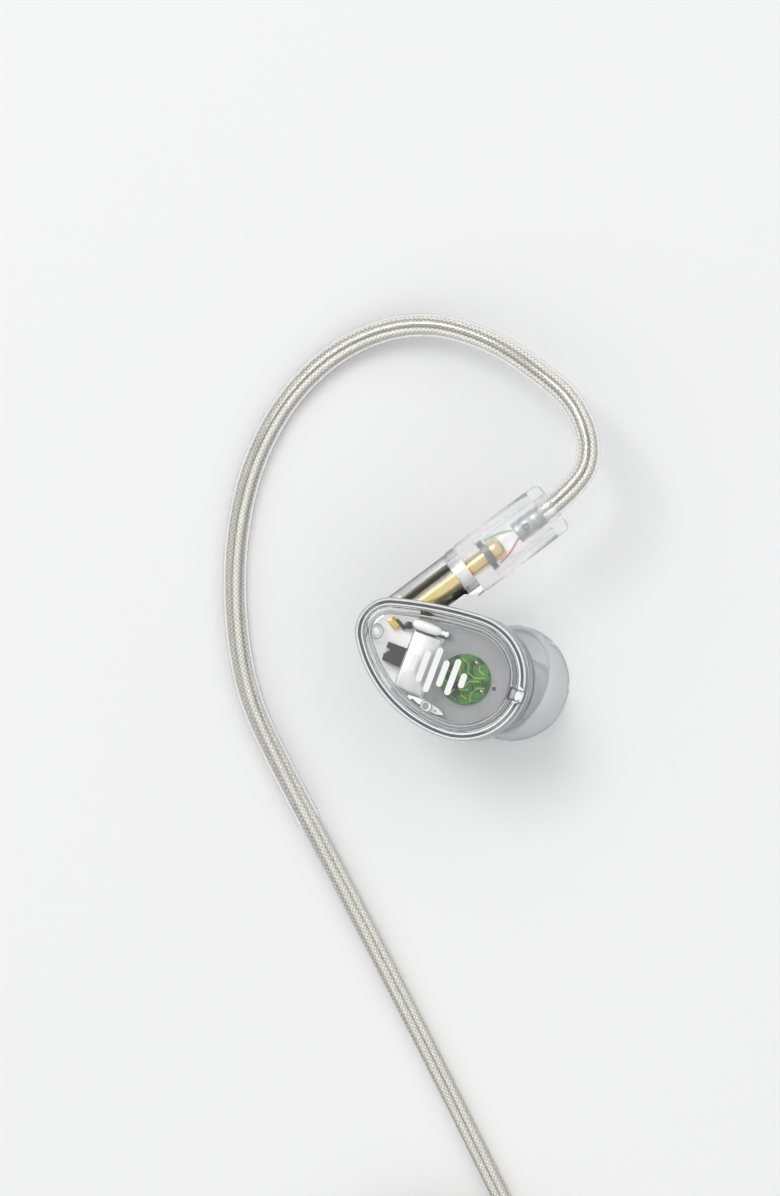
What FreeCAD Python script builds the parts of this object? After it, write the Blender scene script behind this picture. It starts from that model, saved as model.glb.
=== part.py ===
import FreeCAD, Part
import math
import os

from FreeCAD import Vector

# A pair of clear in-ear monitors on a detachable Y cable, laid face up on a table.
# Millimetres, +Z up, the table is z = 0. The right earpiece is modelled in its own
# frame, whose origin is on the table below the middle of the face's big end; the
# left one is its mirror image in the plane y = 0.

# Placing
EAR_AT = Vector(4.9, 76.5, 0)

# Face outline: a big and a small circle joined by two side arcs, in the ear frame
BIG_R, SMALL_AT, SMALL_R = 6.24, Vector(-7.0, 4.28, 0), 3.39
LOWER_SIDE_R, UPPER_SIDE_R = 12.8, 40.0

# Heights of the earpiece
FACE_TOP = 16.9
SEAM = 14.9
SEAL_T = 0.25
FRAME_TOP = 14.3
WALL = 0.9
RIM_W = 1.45
WINDOW_T = 0.8
WINDOW_DROP = 0.5
DRIVER_R = 4.15
JOINTS_AT = [Vector(1.45, 1.29, 0), Vector(1.9, -1.48, 0), Vector(-0.64, -2.21, 0)]
CHIPS_AT = [(0.2, 0.9, 30), (1.2, -0.5, -20)]

# Rear shell sections: height, big circle's middle and radius, small circle's middle and radius
SHELL_SECTIONS = [
    (14.9, (0.0, 0.0), 6.24, (-7.0, 4.28), 3.39),
    (13.0, (0.4, -0.1), 6.20, (-6.9, 4.25), 3.42),
    (11.1, (1.05, -0.25), 6.10, (-6.7, 4.15), 3.40),
    (9.2, (1.2, -0.5), 5.50, (-5.8, 3.6), 3.10),
    (7.9, (1.3, -0.8), 4.60, (-4.4, 2.8), 2.50),
    (7.1, (1.4, -1.1), 3.30, (-2.8, 1.8), 1.70),
]

# Connector between earpiece and plug: its axis is level, s runs from the joint face to the plug's tail
PLUG_FACE = Vector(0.72, 10.42, 11.4)
PLUG_DIR = Vector(0.8, 0.6, 0)
BOSS_R = 2.68
JOINT_GAP = 0.05
PLUG_R, PLUG_LENGTH = 2.74, 10.3
BARREL_R, RUNNING = 0.88, 0.05
BORE_R = BARREL_R + RUNNING
INSERT_R, JACK_R = 1.33, 1.70
WASHER_S, WASHER_R, WASHER_T = 1.95, 1.60, 0.6
CUP_END_S = 3.95
FERRULE_S, FERRULE_END_S, FERRULE_R = 5.6, 9.0, 1.07
CABLE_START_S = 7.0

# Nozzle: t runs from a point inside the shell out to the ear canal
NOZZLE_AT = Vector(1.53, 0.8, 9.7)
NOZZLE_TILT, NOZZLE_HEADING = 42.0, -24.0
NOZZLE_R, NOZZLE_BORE, NOZZLE_END = 2.30, 1.45, 8.6
TIP_START, TIP_END, TIP_R, TIP_T = 4.6, 10.4, 5.60, 0.55

# Cable
BRANCH_D, MAIN_D, HOOK_D = 1.85, 2.40, 2.36
HOOK_BORE_D = BRANCH_D + 0.08
TIE_T = 0.4
BRANCH_COIL_AT, BRANCH_COIL_R = Vector(2.7, 9.1, 0), 11.95
BRANCH_COIL_W, BRANCH_COIL_H = 2 * 1.9, 3 * 1.9
MAIN_COIL_AT, MAIN_COIL_R = Vector(3.6, -39.1, 0), 14.5
MAIN_COIL_W, MAIN_COIL_H = 3 * MAIN_D, 3 * MAIN_D
PAIR_DIR = Vector(0.121, -0.9927, 0)
PAIR_SPACING = 1.94
PAIR_Z = 1.7
SPLITTER_AT, SPLITTER_SIZE = Vector(18.75, -14.0, 0), (9.0, 5.4, 3.4)
SLIDER_AT, SLIDER_SIZE = Vector(17.98, -7.65, 0), (5.0, 5.2, 3.4)
SOCKET_DEPTH = 3.0

# 3.5 mm plug, lying on the main coil
JACK_AT = Vector(11.5, -42.8, TIE_T + MAIN_COIL_H + 3.0)
JACK_DIR = Vector(-1, 0, 0)
JACK_HOUSING_R, JACK_HOUSING_LENGTH, RELIEF_LENGTH = 3.0, 10.0, 5.0
JACK_PLUG_R, JACK_PLUG_LENGTH = 1.75, 14.0

# Routes, in the ear frame up to the end of the hook, whose tube covers the first HOOK_POINTS points
HOOK_ROUTE = [
    Vector(11.48, 18.50, 11.4),
    Vector(12.68, 22.30, 11.0),
    Vector(11.03, 26.60, 9.9),
    Vector(8.19, 29.20, 8.4),
    Vector(2.93, 32.90, 5.6),
    Vector(-3.87, 34.80, 3.2),
    Vector(-10.87, 32.90, 1.8),
    Vector(-16.67, 28.00, 1.25),
    Vector(-20.47, 21.20, 1.2),
    Vector(-22.17, 13.60, 1.2),
    Vector(-22.27, 5.80, 1.2),
    Vector(-21.07, -1.80, 1.2),
    Vector(-18.00, -8.40, 1.2),
]
HOOK_END = Vector(-14.86, -14.31, 1.2)
RIGHT_ROUTE = [
    Vector(-6.3, 55.3, 1.2),
    Vector(2.84, 37.52, 0.95),
    Vector(9.46, 24.1, 0.98),
    Vector(14.2, 15.0, 1.35),
]
LEFT_ROUTE = [
    Vector(-8.2, -58.8, 1.1),
    Vector(-17.0, -43.5, 0.95),
    Vector(-16.2, -27.0, 0.95),
    Vector(-12.0, -9.5, 0.95),
    Vector(-8.9, 1.5, 1.0),
    Vector(-8.3, 9.1, 1.35),
]
# Where each branch leaves the coil and comes down to the pair's level
RIGHT_LEAVES = [Vector(15.3, 15.4, 5.2), Vector(17.3, 9.6, 4.9)]
LEFT_LEAVES = [Vector(13.0, 14.6, 5.6), Vector(15.3, 8.6, 5.3)]
PAIR_LEVEL_AT = 16.0
MAIN_ROUTE = [Vector(20.5, -30.5, 1.5), Vector(20.4, -37.0, 1.6)]
MAIN_RISE = [
    Vector(8.4, -25.3, 6.4),
    Vector(13.6, -25.8, 6.8),
    Vector(18.6, -27.4, 7.8),
    Vector(21.7, -31.6, 9.0),
    Vector(21.7, -36.9, 10.0),
    Vector(18.6, -41.2, 10.5),
    Vector(13.6, -42.8, 10.6),
]


def unit(v):
    """The vector v at length 1."""
    return v * (1.0 / v.Length)


def nozzle_dir():
    """The nozzle's axis, down and away from the face."""
    tilt, heading = math.radians(NOZZLE_TILT), math.radians(NOZZLE_HEADING)
    flat = math.sin(tilt)
    return Vector(flat * math.cos(heading), flat * math.sin(heading), -math.cos(tilt))


def side_centre(big, big_r, small, small_r, side_r, side):
    """Centre of the arc that touches both circles from outside; side is +1 or -1."""
    across = small - big
    u = unit(across)
    n = Vector(-u.y, u.x, 0) * side
    a, b, span = side_r - big_r, side_r - small_r, across.Length
    x = (a * a - b * b + span * span) / (2 * span)
    return big + u * x - n * math.sqrt(a * a - x * x)


def outline(z, big, big_r, small, small_r, inset=0.0):
    """Closed wire at height z: two end arcs and two side arcs, moved inwards by inset."""
    big, small = Vector(big[0], big[1], 0), Vector(small[0], small[1], 0)
    share = big_r / BIG_R
    u = unit(small - big)
    touch = {}
    middle = {}
    for side, r in ((1, LOWER_SIDE_R * share), (-1, UPPER_SIDE_R * share)):
        c = side_centre(big, big_r, small, small_r, r, side)
        ends = [unit(p - c) for p in (big, small)]
        touch[side] = [c + e * (r - inset) for e in ends]
        middle[side] = c + unit(ends[0] + ends[1]) * (r - inset)
    lift = Vector(0, 0, z)
    arcs = [
        (touch[1][0], middle[1], touch[1][1]),
        (touch[1][1], small + u * (small_r - inset), touch[-1][1]),
        (touch[-1][1], middle[-1], touch[-1][0]),
        (touch[-1][0], big - u * (big_r - inset), touch[1][0]),
    ]
    return Part.Wire([Part.Arc(*[p + lift for p in arc]).toShape() for arc in arcs])


def face_prism(inset, low, high):
    """The face outline, moved in by inset, as a solid between two heights."""
    wire = outline(low, (0, 0), BIG_R, (SMALL_AT.x, SMALL_AT.y), SMALL_R, inset)
    return Part.Face(wire).extrude(Vector(0, 0, high - low))


def face_ring(outer, inner, low, high):
    """A band that follows the face outline between two insets."""
    return face_prism(outer, low, high).cut(face_prism(inner, low - 1, high + 1))


def rod(start, axis, low, high, radius):
    """A cylinder on the line start + s * axis, from s = low to s = high."""
    return Part.makeCylinder(radius, high - low, start + axis * low, axis)


def collar(start, axis, low, high, radius, bore):
    """A rod with a hole along its whole length."""
    return rod(start, axis, low, high, radius).cut(rod(start, axis, low - 1, high + 1, bore))


def turned(start, axis, edges):
    """Revolves a closed outline, drawn as (radius, 0, s), about start + s * axis."""
    solid = Part.Face(Part.Wire(edges)).revolve(Vector(), Vector(0, 0, 1), 360)
    turn = FreeCAD.Rotation(Vector(0, 0, 1), axis)
    solid.Placement = FreeCAD.Placement(start, turn)
    return Part.makeSolid(solid) if solid.ShapeType == "Shell" else solid


def polygon(points):
    """Edges of a closed outline through (s, radius) points, for turned()."""
    corners = [Vector(r, 0, s) for s, r in points]
    return [Part.makeLine(a, b) for a, b in zip(corners, corners[1:] + corners[:1])]


def brick(centre, size, turn_deg):
    """A box centred on (x, y), standing on z, turned about its own middle."""
    length, width, height = size
    box = Part.makeBox(length, width, height, Vector(-length / 2, -width / 2, 0))
    box.rotate(Vector(), Vector(0, 0, 1), turn_deg)
    box.translate(centre)
    return box


def rounded_brick(centre, size, turn_deg, radius):
    """A brick with every edge rounded."""
    box = brick(Vector(), size, 0)
    box = box.makeFillet(radius, box.Edges)
    box.rotate(Vector(), Vector(0, 0, 1), turn_deg)
    box.translate(centre)
    return box


def rounded_path(points):
    """Straight runs joined by tangent arcs, each as large as its two runs allow; also the radii."""
    edges, radii = [], []
    at = points[0]
    for before, corner, after in zip(points, points[1:], points[2:]):
        back, on = before - corner, after - corner
        half = (math.pi - back.getAngle(on)) / 2
        reach = 0.45 * min(back.Length, on.Length)
        radius = reach / math.tan(half)
        start, end = corner + unit(back) * reach, corner + unit(on) * reach
        inward = unit(unit(back) + unit(on))
        middle = corner + inward * (radius / math.cos(half) - radius)
        edges += [Part.LineSegment(at, start).toShape(), Part.Arc(start, middle, end).toShape()]
        radii.append(radius)
        at = end
    edges.append(Part.LineSegment(at, points[-1]).toShape())
    return Part.Wire(edges), radii


def tube(points, diameter, name=""):
    """A round cord along the rounded path of points. A name prints its length, bends and volume."""
    path, radii = rounded_path(points)
    heading = unit(points[1] - points[0])
    section = Part.Wire(Part.makeCircle(diameter / 2, points[0], heading))
    solid = path.makePipeShell([section], True, False)
    if name:
        straight = math.pi * diameter**2 / 4 * path.Length
        tight = min(radii) / diameter if radii else 0
        print(
            f"{name}: length {path.Length:.1f}, tightest bend {tight:.1f} diameters,"
            f" volume {solid.Volume / straight:.4f} of section x length"
        )
    return solid


def plug_point(s):
    """The point at s on the connector's axis."""
    return PLUG_FACE + PLUG_DIR * s


def rear_shell():
    """Clear body: lofted cup, connector boss with web, nozzle spout and alignment post."""
    nozzle = nozzle_dir()
    cup = Part.makeLoft([outline(*row) for row in SHELL_SECTIONS], True)
    inside = [(z + (WALL if z < 8 else 0), *rest) for z, *rest in SHELL_SECTIONS[:-1]]
    hollow = Part.makeLoft([outline(*row, WALL) for row in inside], True)
    boss = rod(PLUG_FACE, PLUG_DIR, -9.2, -JOINT_GAP, BOSS_R - 0.1)
    lip = rod(PLUG_FACE, PLUG_DIR, -1.0, -JOINT_GAP, BOSS_R)
    web = neck_web()
    spout = rod(NOZZLE_AT, nozzle, 1.0, NOZZLE_END, NOZZLE_R)
    shell = cup.fuse([boss, lip, web, spout])
    channel = rod(NOZZLE_AT, nozzle, -0.5, NOZZLE_END + 1, NOZZLE_BORE)
    filter_seat = rod(NOZZLE_AT, nozzle, NOZZLE_END - 0.6, NOZZLE_END + 1, NOZZLE_R - 0.35)
    mouth = rod(PLUG_FACE, PLUG_DIR, -1.5, 1, INSERT_R)
    bore = rod(PLUG_FACE, PLUG_DIR, -9.4, -1.5, JACK_R)
    groove = collar(NOZZLE_AT, nozzle, 5.4, 7.6, NOZZLE_R + 1, NOZZLE_R - 0.2)
    shell = shell.cut([hollow, channel, filter_seat, mouth, bore, groove])
    post = collar(Vector(-8.3, 4.4, 0), Vector(0, 0, 1), 9.6, FRAME_TOP, 0.72, 0.42)
    return shell.fuse(post).removeSplitter()


def neck_web():
    """The web that braces the boss on the side of the big end, with a hollow outer edge."""
    low, high = 9.3, 13.4
    foot, tip = Vector(3.1, 5.0, low), Vector(1.55, 7.95, low)
    points = [Vector(-1.5, 4.6, low), foot, tip, Vector(-2.0, 8.0, low)]
    waist = Vector(1.95, 6.45, low)
    edges = [
        Part.makeLine(points[0], points[1]),
        Part.Arc(points[1], waist, points[2]).toShape(),
        Part.makeLine(points[2], points[3]),
        Part.makeLine(points[3], points[0]),
    ]
    return Part.Face(Part.Wire(edges)).extrude(Vector(0, 0, high - low))


def face_cover():
    """Clear cover: raised rim with rounded edge, sunk window, locating tongue and latch slot."""
    low = SEAM + SEAL_T
    block = face_prism(0, low, FACE_TOP)
    rim = [e for e in block.Edges if e.BoundBox.ZMin > FACE_TOP - 0.01]
    block = block.makeFillet(0.55, rim)
    sunk = face_prism(RIM_W, FACE_TOP - WINDOW_DROP, FACE_TOP + 1)
    under = face_prism(RIM_W + 0.1, low - 1, FACE_TOP - WINDOW_DROP - WINDOW_T)
    tongue = face_ring(WALL + 0.1, WALL + 0.55, SEAM - 0.6, low)
    slot = brick(Vector(5.3, -1.85, FACE_TOP - 0.45), (1.1, 1.3, 1.0), -20)
    tab = brick(Vector(5.3, -1.85, low + 0.8), (0.8, 0.9, 0.8), -20)
    return block.cut([sunk, under, slot]).fuse([tongue, tab]).removeSplitter()


def connector_socket():
    """The gold jack barrel, its clear mouth insert and its centre contact with a solder tab."""
    barrel = rod(PLUG_FACE, PLUG_DIR, -6.9, -1.5, JACK_R)
    barrel = barrel.cut(rod(PLUG_FACE, PLUG_DIR, -4.9, 0, BORE_R))
    barrel = barrel.cut(rod(PLUG_FACE, PLUG_DIR, -8, -4, 0.5))
    insert = collar(PLUG_FACE, PLUG_DIR, -1.5, -0.1, INSERT_R, BORE_R)
    pin = rod(PLUG_FACE, PLUG_DIR, -8.6, -4.2, 0.4)
    end = plug_point(-8.6)
    tab = brick(Vector(end.x - 0.3, end.y - 0.1, end.z - 0.4), (1.1, 1.35, 2.9), 18)
    return {"jack_barrel": barrel, "jack_insert": insert, "jack_contact": pin.fuse(tab)}


def drivers():
    """The plate behind the window, the round driver below it and the armature driver beside it."""
    lean = -20.4
    edge = Vector(-5.65, 1.77, 0)
    across = Vector(math.cos(math.radians(lean)), math.sin(math.radians(lean)), 0)
    box_at = edge + across * 1.48 + Vector(0, 0, 12.6)
    cut_at = edge - across * 5.0 + Vector(0, 0, 12)
    armature = rounded_brick(box_at, (2.9, 5.9, 2.15), lean, 0.18)
    plate = face_prism(WALL + 0.65, FRAME_TOP - 0.6, FRAME_TOP)
    plate = plate.cut([brick(cut_at, (10.0, 30.0, 4.0), lean), brick(box_at, (3.1, 6.1, 4.0), lean)])
    at, up = Vector(1.2, -0.5, 0), Vector(0, 0, 1)
    top = FRAME_TOP - 0.6
    basket = collar(at, up, 10.7, top, DRIVER_R, DRIVER_R - 0.4)
    basket = basket.fuse(collar(at, up, 12.9, top, 3.9, 2.9))
    motor = rod(at, up, 11.6, top, 2.85).fuse(rod(at, up, 11.6, 12.0, 3.3))
    diaphragm = rod(at, up, 10.75, 10.95, DRIVER_R - 0.42)
    block = brick(Vector(-6.75, 2.15, 12.9), (2.05, 2.1, 1.75), lean)
    notch = brick(Vector(-7.7, 2.5, 13.7), (0.7, 0.6, 2.0), lean)
    return {
        "inner_frame": plate,
        "armature_driver": armature,
        "driver_basket": basket,
        "driver_motor": motor,
        "driver_diaphragm": diaphragm,
        "driver_bracket": block.cut(notch),
    }


def board():
    """The round crossover board, with its solder joints and chips."""
    at, up = Vector(0.29, -0.3, 0), Vector(0, 0, 1)
    disc = rod(at, up, FRAME_TOP, FRAME_TOP + 0.3, 2.47)
    top = FRAME_TOP + 0.3
    joints = [rod(place, up, top, top + 0.2, 0.33) for place in JOINTS_AT]
    chips = [brick(Vector(x, y, top), (0.9, 0.5, 0.3), turn) for x, y, turn in CHIPS_AT]
    return {"crossover_board": disc, "board_parts": Part.makeCompound(joints + chips)}


def sound_tubes():
    """The clear tube above the armature and the leaf-shaped damper below it."""
    z = FRAME_TOP + 0.65
    upper = tube([Vector(-4.6, 5.2, z), Vector(-3.0, 4.7, z), Vector(-1.5, 4.05, z)], 1.0)
    lower = tube([Vector(-4.8, -2.15, z), Vector(-3.5, -2.75, z), Vector(-2.2, -3.2, z)], 0.95)
    return Part.makeCompound([upper, lower])


def hookup_wires():
    """Two thin wires from the socket to the board."""
    wires = []
    for shift in (0, 0.45):
        points = [
            Vector(-5.75, 4.2 - shift, 13.9),
            Vector(-5.0, 3.6 - shift, 15.05),
            Vector(-2.9, 2.1 - shift, 15.15),
            Vector(-1.4, 1.0 - shift, 14.8),
        ]
        wires.append(tube(points, 0.22))
    return Part.makeCompound(wires)


def ear_tip():
    """Silicone tip: a core on the nozzle and a dome that folds back into a skirt."""
    core = NOZZLE_R + RUNNING
    outer_end = Vector(core - 0.35, 0, TIP_END)
    dome = Part.Arc(Vector(core + 0.15, 0, TIP_END), Vector(4.75, 0, 8.6), Vector(TIP_R, 0, TIP_START))
    inside = Part.Arc(Vector(TIP_R - TIP_T, 0, TIP_START), Vector(4.2, 0, 8.1), Vector(core + TIP_T, 0, 9.45))
    mouth = Part.makeLine(outer_end, Vector(core + 0.15, 0, TIP_END))
    hem = Part.makeLine(Vector(TIP_R, 0, TIP_START), Vector(TIP_R - TIP_T, 0, TIP_START))
    corners = [
        Vector(core + TIP_T, 0, 9.45),
        Vector(core + TIP_T, 0, TIP_START + 0.4),
        Vector(core, 0, TIP_START + 0.4),
        Vector(core, 0, NOZZLE_END + RUNNING),
        Vector(core - 0.35, 0, NOZZLE_END + RUNNING),
        outer_end,
    ]
    sides = [Part.makeLine(a, b) for a, b in zip(corners, corners[1:])]
    return turned(NOZZLE_AT, nozzle_dir(), [dome.toShape(), hem, inside.toShape(), *sides, mouth])


def plug():
    """The frosted plug with what is inside it; s runs from the joint face to the tail."""
    face, tail, edge = JOINT_GAP, PLUG_LENGTH, 0.5
    wall = [
        (face, BARREL_R),
        (face, PLUG_R),
        (tail - edge, PLUG_R),
        (tail, PLUG_R - edge),
        (tail, HOOK_D / 2),
        (tail - 1.3, HOOK_D / 2),
        (tail - 1.3, WASHER_R + 0.03),
        (WASHER_S, WASHER_R + 0.03),
        (WASHER_S, BARREL_R),
    ]
    barrel = collar(PLUG_FACE, PLUG_DIR, -3.9, WASHER_S + WASHER_T, BARREL_R, 0.6)
    barrel = barrel.cut(collar(PLUG_FACE, PLUG_DIR, -2.6, -2.2, BARREL_R + 1, BARREL_R - 0.2))
    washer = collar(PLUG_FACE, PLUG_DIR, WASHER_S, WASHER_S + WASHER_T, WASHER_R, BARREL_R)
    pin = rod(PLUG_FACE, PLUG_DIR, -3.4, CUP_END_S, 0.3)
    cup = collar(PLUG_FACE, PLUG_DIR, WASHER_S + WASHER_T, CUP_END_S, BARREL_R, 0.3)
    ferrule = collar(PLUG_FACE, PLUG_DIR, FERRULE_S, FERRULE_END_S, FERRULE_R, BRANCH_D / 2)
    start = -2.6 + JOINT_GAP / 2
    ring = collar(PLUG_FACE, PLUG_DIR, start, -2.2 - JOINT_GAP / 2, BARREL_R, BARREL_R - 0.17)
    gap = brick(plug_point(-2.4) + Vector(0, 0, 0.3), (1.0, 0.3, 1.0), math.degrees(math.atan2(0.6, 0.8)))
    side = Vector(-PLUG_DIR.y, PLUG_DIR.x, 0)
    wires = []
    for n in (1.15, -1.15):
        points = [
            plug_point(WASHER_S + WASHER_T + 0.3) + side * n,
            plug_point(4.4) + side * n * 0.95,
            plug_point(5.3) + side * n * 0.45,
            plug_point(6.4) + side * n * 0.35,
        ]
        wires.append(tube(points, 0.24))
    return {
        "plug_housing": turned(PLUG_FACE, PLUG_DIR, polygon(wall)),
        "plug_barrel": barrel,
        "snap_ring": ring.cut(gap),
        "plug_pins": pin.fuse(cup).removeSplitter(),
        "plug_washers": washer,
        "plug_ferrules": ferrule,
        "plug_wires": Part.makeCompound(wires),
    }


def hook_start():
    """Where the hook tube begins, inside the plug's tail."""
    return plug_point(PLUG_LENGTH - 1.3)


def ear_hook():
    """The formed tube that carries the cable over the ear."""
    route = [hook_start(), *HOOK_ROUTE, HOOK_END]
    shell = tube(route, HOOK_D, "ear hook")
    on_start, on_end = unit(route[1] - route[0]), unit(route[-1] - route[-2])
    longer = [route[0] - on_start, *HOOK_ROUTE, HOOK_END + on_end]
    return shell.cut(tube(longer, HOOK_BORE_D))


def placed(point):
    """A point of the right ear frame in the part's frame."""
    return point + EAR_AT


def mirrored(point):
    """A point of the right ear frame, on the left side."""
    p = placed(point)
    return Vector(p.x, -p.y, p.z)


def pair_point(run, side, z=PAIR_Z):
    """A point of the straight pair: run along it from the splitter's mouth, side +1 right, -1 left."""
    across = Vector(-PAIR_DIR.y, PAIR_DIR.x, 0)
    at = SPLITTER_AT + PAIR_DIR * run + across * (side * PAIR_SPACING / 2)
    return Vector(at.x, at.y, z)


def branch_cables():
    """Each branch: from its plug through the hook to the coil, and from the coil to the splitter."""
    start = plug_point(CABLE_START_S)
    right = [placed(p) for p in [start, *HOOK_ROUTE]] + RIGHT_ROUTE
    left = [mirrored(p) for p in [start, *HOOK_ROUTE]] + LEFT_ROUTE
    made = {}
    for side, out, leaves, sign in (("right", right, RIGHT_LEAVES, 1), ("left", left, LEFT_LEAVES, -1)):
        end = [pair_point(-PAIR_LEVEL_AT, sign), pair_point(SOCKET_DEPTH, sign)]
        first = tube(out, BRANCH_D, f"{side} branch, out")
        second = tube(leaves + end, BRANCH_D, f"{side} branch, to the splitter")
        made[f"branch_cable_{side}"] = Part.makeCompound([first, second])
    return made


def along_pair(centre, size, radius):
    """A rounded body lying on the table, its length along the pair."""
    turn = math.degrees(math.atan2(PAIR_DIR.y, PAIR_DIR.x))
    return rounded_brick(centre, size, turn, radius)


def fittings():
    """Splitter and chin slider."""
    length = SPLITTER_SIZE[0]
    splitter = along_pair(SPLITTER_AT + PAIR_DIR * (length / 2), SPLITTER_SIZE, 1.2)
    for side in (1, -1):
        splitter = splitter.cut(rod(pair_point(0, side), PAIR_DIR, -1, SOCKET_DEPTH, BRANCH_D / 2))
    splitter = splitter.cut(rod(pair_point(0, 0), PAIR_DIR, length - SOCKET_DEPTH, length + 1, MAIN_D / 2))
    slider = along_pair(SLIDER_AT, SLIDER_SIZE, 1.2)
    width = BRANCH_D / 2 + 0.06
    for side in (1, -1):
        slider = slider.cut(rod(pair_point(0, side), PAIR_DIR, -20, 20, width))
    return {"cable_splitter": splitter, "chin_slider": slider}


def coil_ring(at, radius, width, height, corner):
    """One closed ring with a rounded section, the outer shape of a tied coil."""
    low, high = TIE_T, TIE_T + height
    wire = Part.makePolygon(
        [
            Vector(radius - width / 2, 0, low),
            Vector(radius + width / 2, 0, low),
            Vector(radius + width / 2, 0, high),
            Vector(radius - width / 2, 0, high),
            Vector(radius - width / 2, 0, low),
        ]
    )
    ring = Part.Face(wire).revolve(Vector(), Vector(0, 0, 1), 360)
    ring = ring.makeFillet(corner, ring.Edges)
    ring.translate(at)
    return ring


def tie(at, radius, width, height, angle_deg):
    """A strap closed round a coil's bundle."""
    low = brick(Vector(radius, 0, 0), (width + 0.2 + 2 * TIE_T, 3.0, height + 2 * TIE_T + 0.1), 0)
    hole = brick(Vector(radius, 0, TIE_T), (width + 0.2, 4.0, height + 0.1), 0)
    strap = low.cut(hole)
    strap.rotate(Vector(), Vector(0, 0, 1), angle_deg)
    strap.translate(at)
    return strap


def coils():
    """The two tied coils and the free ends of the main cable."""
    length = SPLITTER_SIZE[0]
    start = pair_point(length - SOCKET_DEPTH, 0)
    first = tube([start, pair_point(length + 3.5, 0), *MAIN_ROUTE], MAIN_D, "main cable, to the coil")
    end = JACK_AT + JACK_DIR * 3.0
    second = tube([*MAIN_RISE, end], MAIN_D, "main cable, to the jack")
    return {
        "branch_coil": coil_ring(BRANCH_COIL_AT, BRANCH_COIL_R, BRANCH_COIL_W, BRANCH_COIL_H, 0.9),
        "main_coil": coil_ring(MAIN_COIL_AT, MAIN_COIL_R, MAIN_COIL_W, MAIN_COIL_H, 1.15),
        "cable_ties": Part.makeCompound(
            [
                tie(BRANCH_COIL_AT, BRANCH_COIL_R, BRANCH_COIL_W, BRANCH_COIL_H, 250),
                tie(MAIN_COIL_AT, MAIN_COIL_R, MAIN_COIL_W, MAIN_COIL_H, 165),
            ]
        ),
        "main_cable": Part.makeCompound([first, second]),
    }


def headphone_jack():
    """The 3.5 mm plug: housing with its relief, three contacts and the rings between them."""
    relief, body = RELIEF_LENGTH, RELIEF_LENGTH + JACK_HOUSING_LENGTH
    bore = MAIN_D / 2
    wall = [
        (0, bore),
        (0, bore + 0.5),
        (relief, 2.3),
        (relief, JACK_HOUSING_R - 0.3),
        (relief + 0.3, JACK_HOUSING_R),
        (body - 0.5, JACK_HOUSING_R),
        (body, JACK_HOUSING_R - 0.5),
        (body, 0.0),
        (3.0, 0.0),
        (3.0, bore),
    ]
    r, core = JACK_PLUG_R, 0.9
    stem = rod(JACK_AT, JACK_DIR, body, body + 12.5, core)
    sleeve = collar(JACK_AT, JACK_DIR, body, body + 6.3, r, core)
    ring = collar(JACK_AT, JACK_DIR, body + 7.0, body + 9.3, r, core)
    neck, nose = body + 11.0, body + JACK_PLUG_LENGTH
    point = [
        (body + 10.0, 0),
        (body + 10.0, r),
        (neck, r),
        (neck + 0.9, 1.15),
        (neck + 1.5, 1.6),
        (nose, 0.5),
        (nose, 0),
    ]
    tip = turned(JACK_AT, JACK_DIR, polygon(point)).fuse(stem)
    gaps = [collar(JACK_AT, JACK_DIR, body + a, body + a + 0.7, r, core) for a in (6.3, 9.3)]
    return {
        "jack_housing": turned(JACK_AT, JACK_DIR, polygon(wall)),
        "jack_contacts": Part.makeCompound([sleeve, ring, tip.removeSplitter()]),
        "jack_insulators": Part.makeCompound(gaps),
    }


def earpiece():
    """Every solid of the right side, in the ear frame, by name."""
    nozzle = nozzle_dir()
    pieces = {
        "rear_shell": rear_shell(),
        "face_cover": face_cover(),
        "cover_seal": face_ring(0.12, WALL - 0.08, SEAM, SEAM + SEAL_T),
        "sound_tubes": sound_tubes(),
        "hookup_wires": hookup_wires(),
        "nozzle_filter": rod(NOZZLE_AT, nozzle, NOZZLE_END - 0.6, NOZZLE_END, NOZZLE_R - 0.35),
        "ear_tip": ear_tip(),
        "ear_hook": ear_hook(),
    }
    for group in (connector_socket(), drivers(), board(), plug()):
        pieces.update(group)
    return pieces


def build():
    """All nodes of the part: each side's own, the pairs of small plug parts, and the cable's."""
    nodes = {}
    for name, shape in earpiece().items():
        right = shape.copy()
        right.translate(EAR_AT)
        left = right.mirror(Vector(), Vector(0, 1, 0))
        if name in ("plug_pins", "plug_washers", "plug_ferrules", "plug_wires"):
            nodes[name] = Part.makeCompound(right.Solids + left.Solids)
        else:
            nodes[f"{name}_right"] = right
            nodes[f"{name}_left"] = left
    for group in (branch_cables(), fittings(), coils(), headphone_jack()):
        nodes.update(group)
    return nodes


os.makedirs("parts", exist_ok=True)
for node, shape in build().items():
    if not shape.isValid() or not shape.Solids:
        print(f"{node} is not a valid solid")
    shape.exportStep(f"parts/{node}.step")
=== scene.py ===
import logging
import math
from dataclasses import dataclass, field
from enum import Enum
from typing import Sequence

import bmesh
import bpy
import numpy as np
from mathutils import Matrix, Vector


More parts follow.
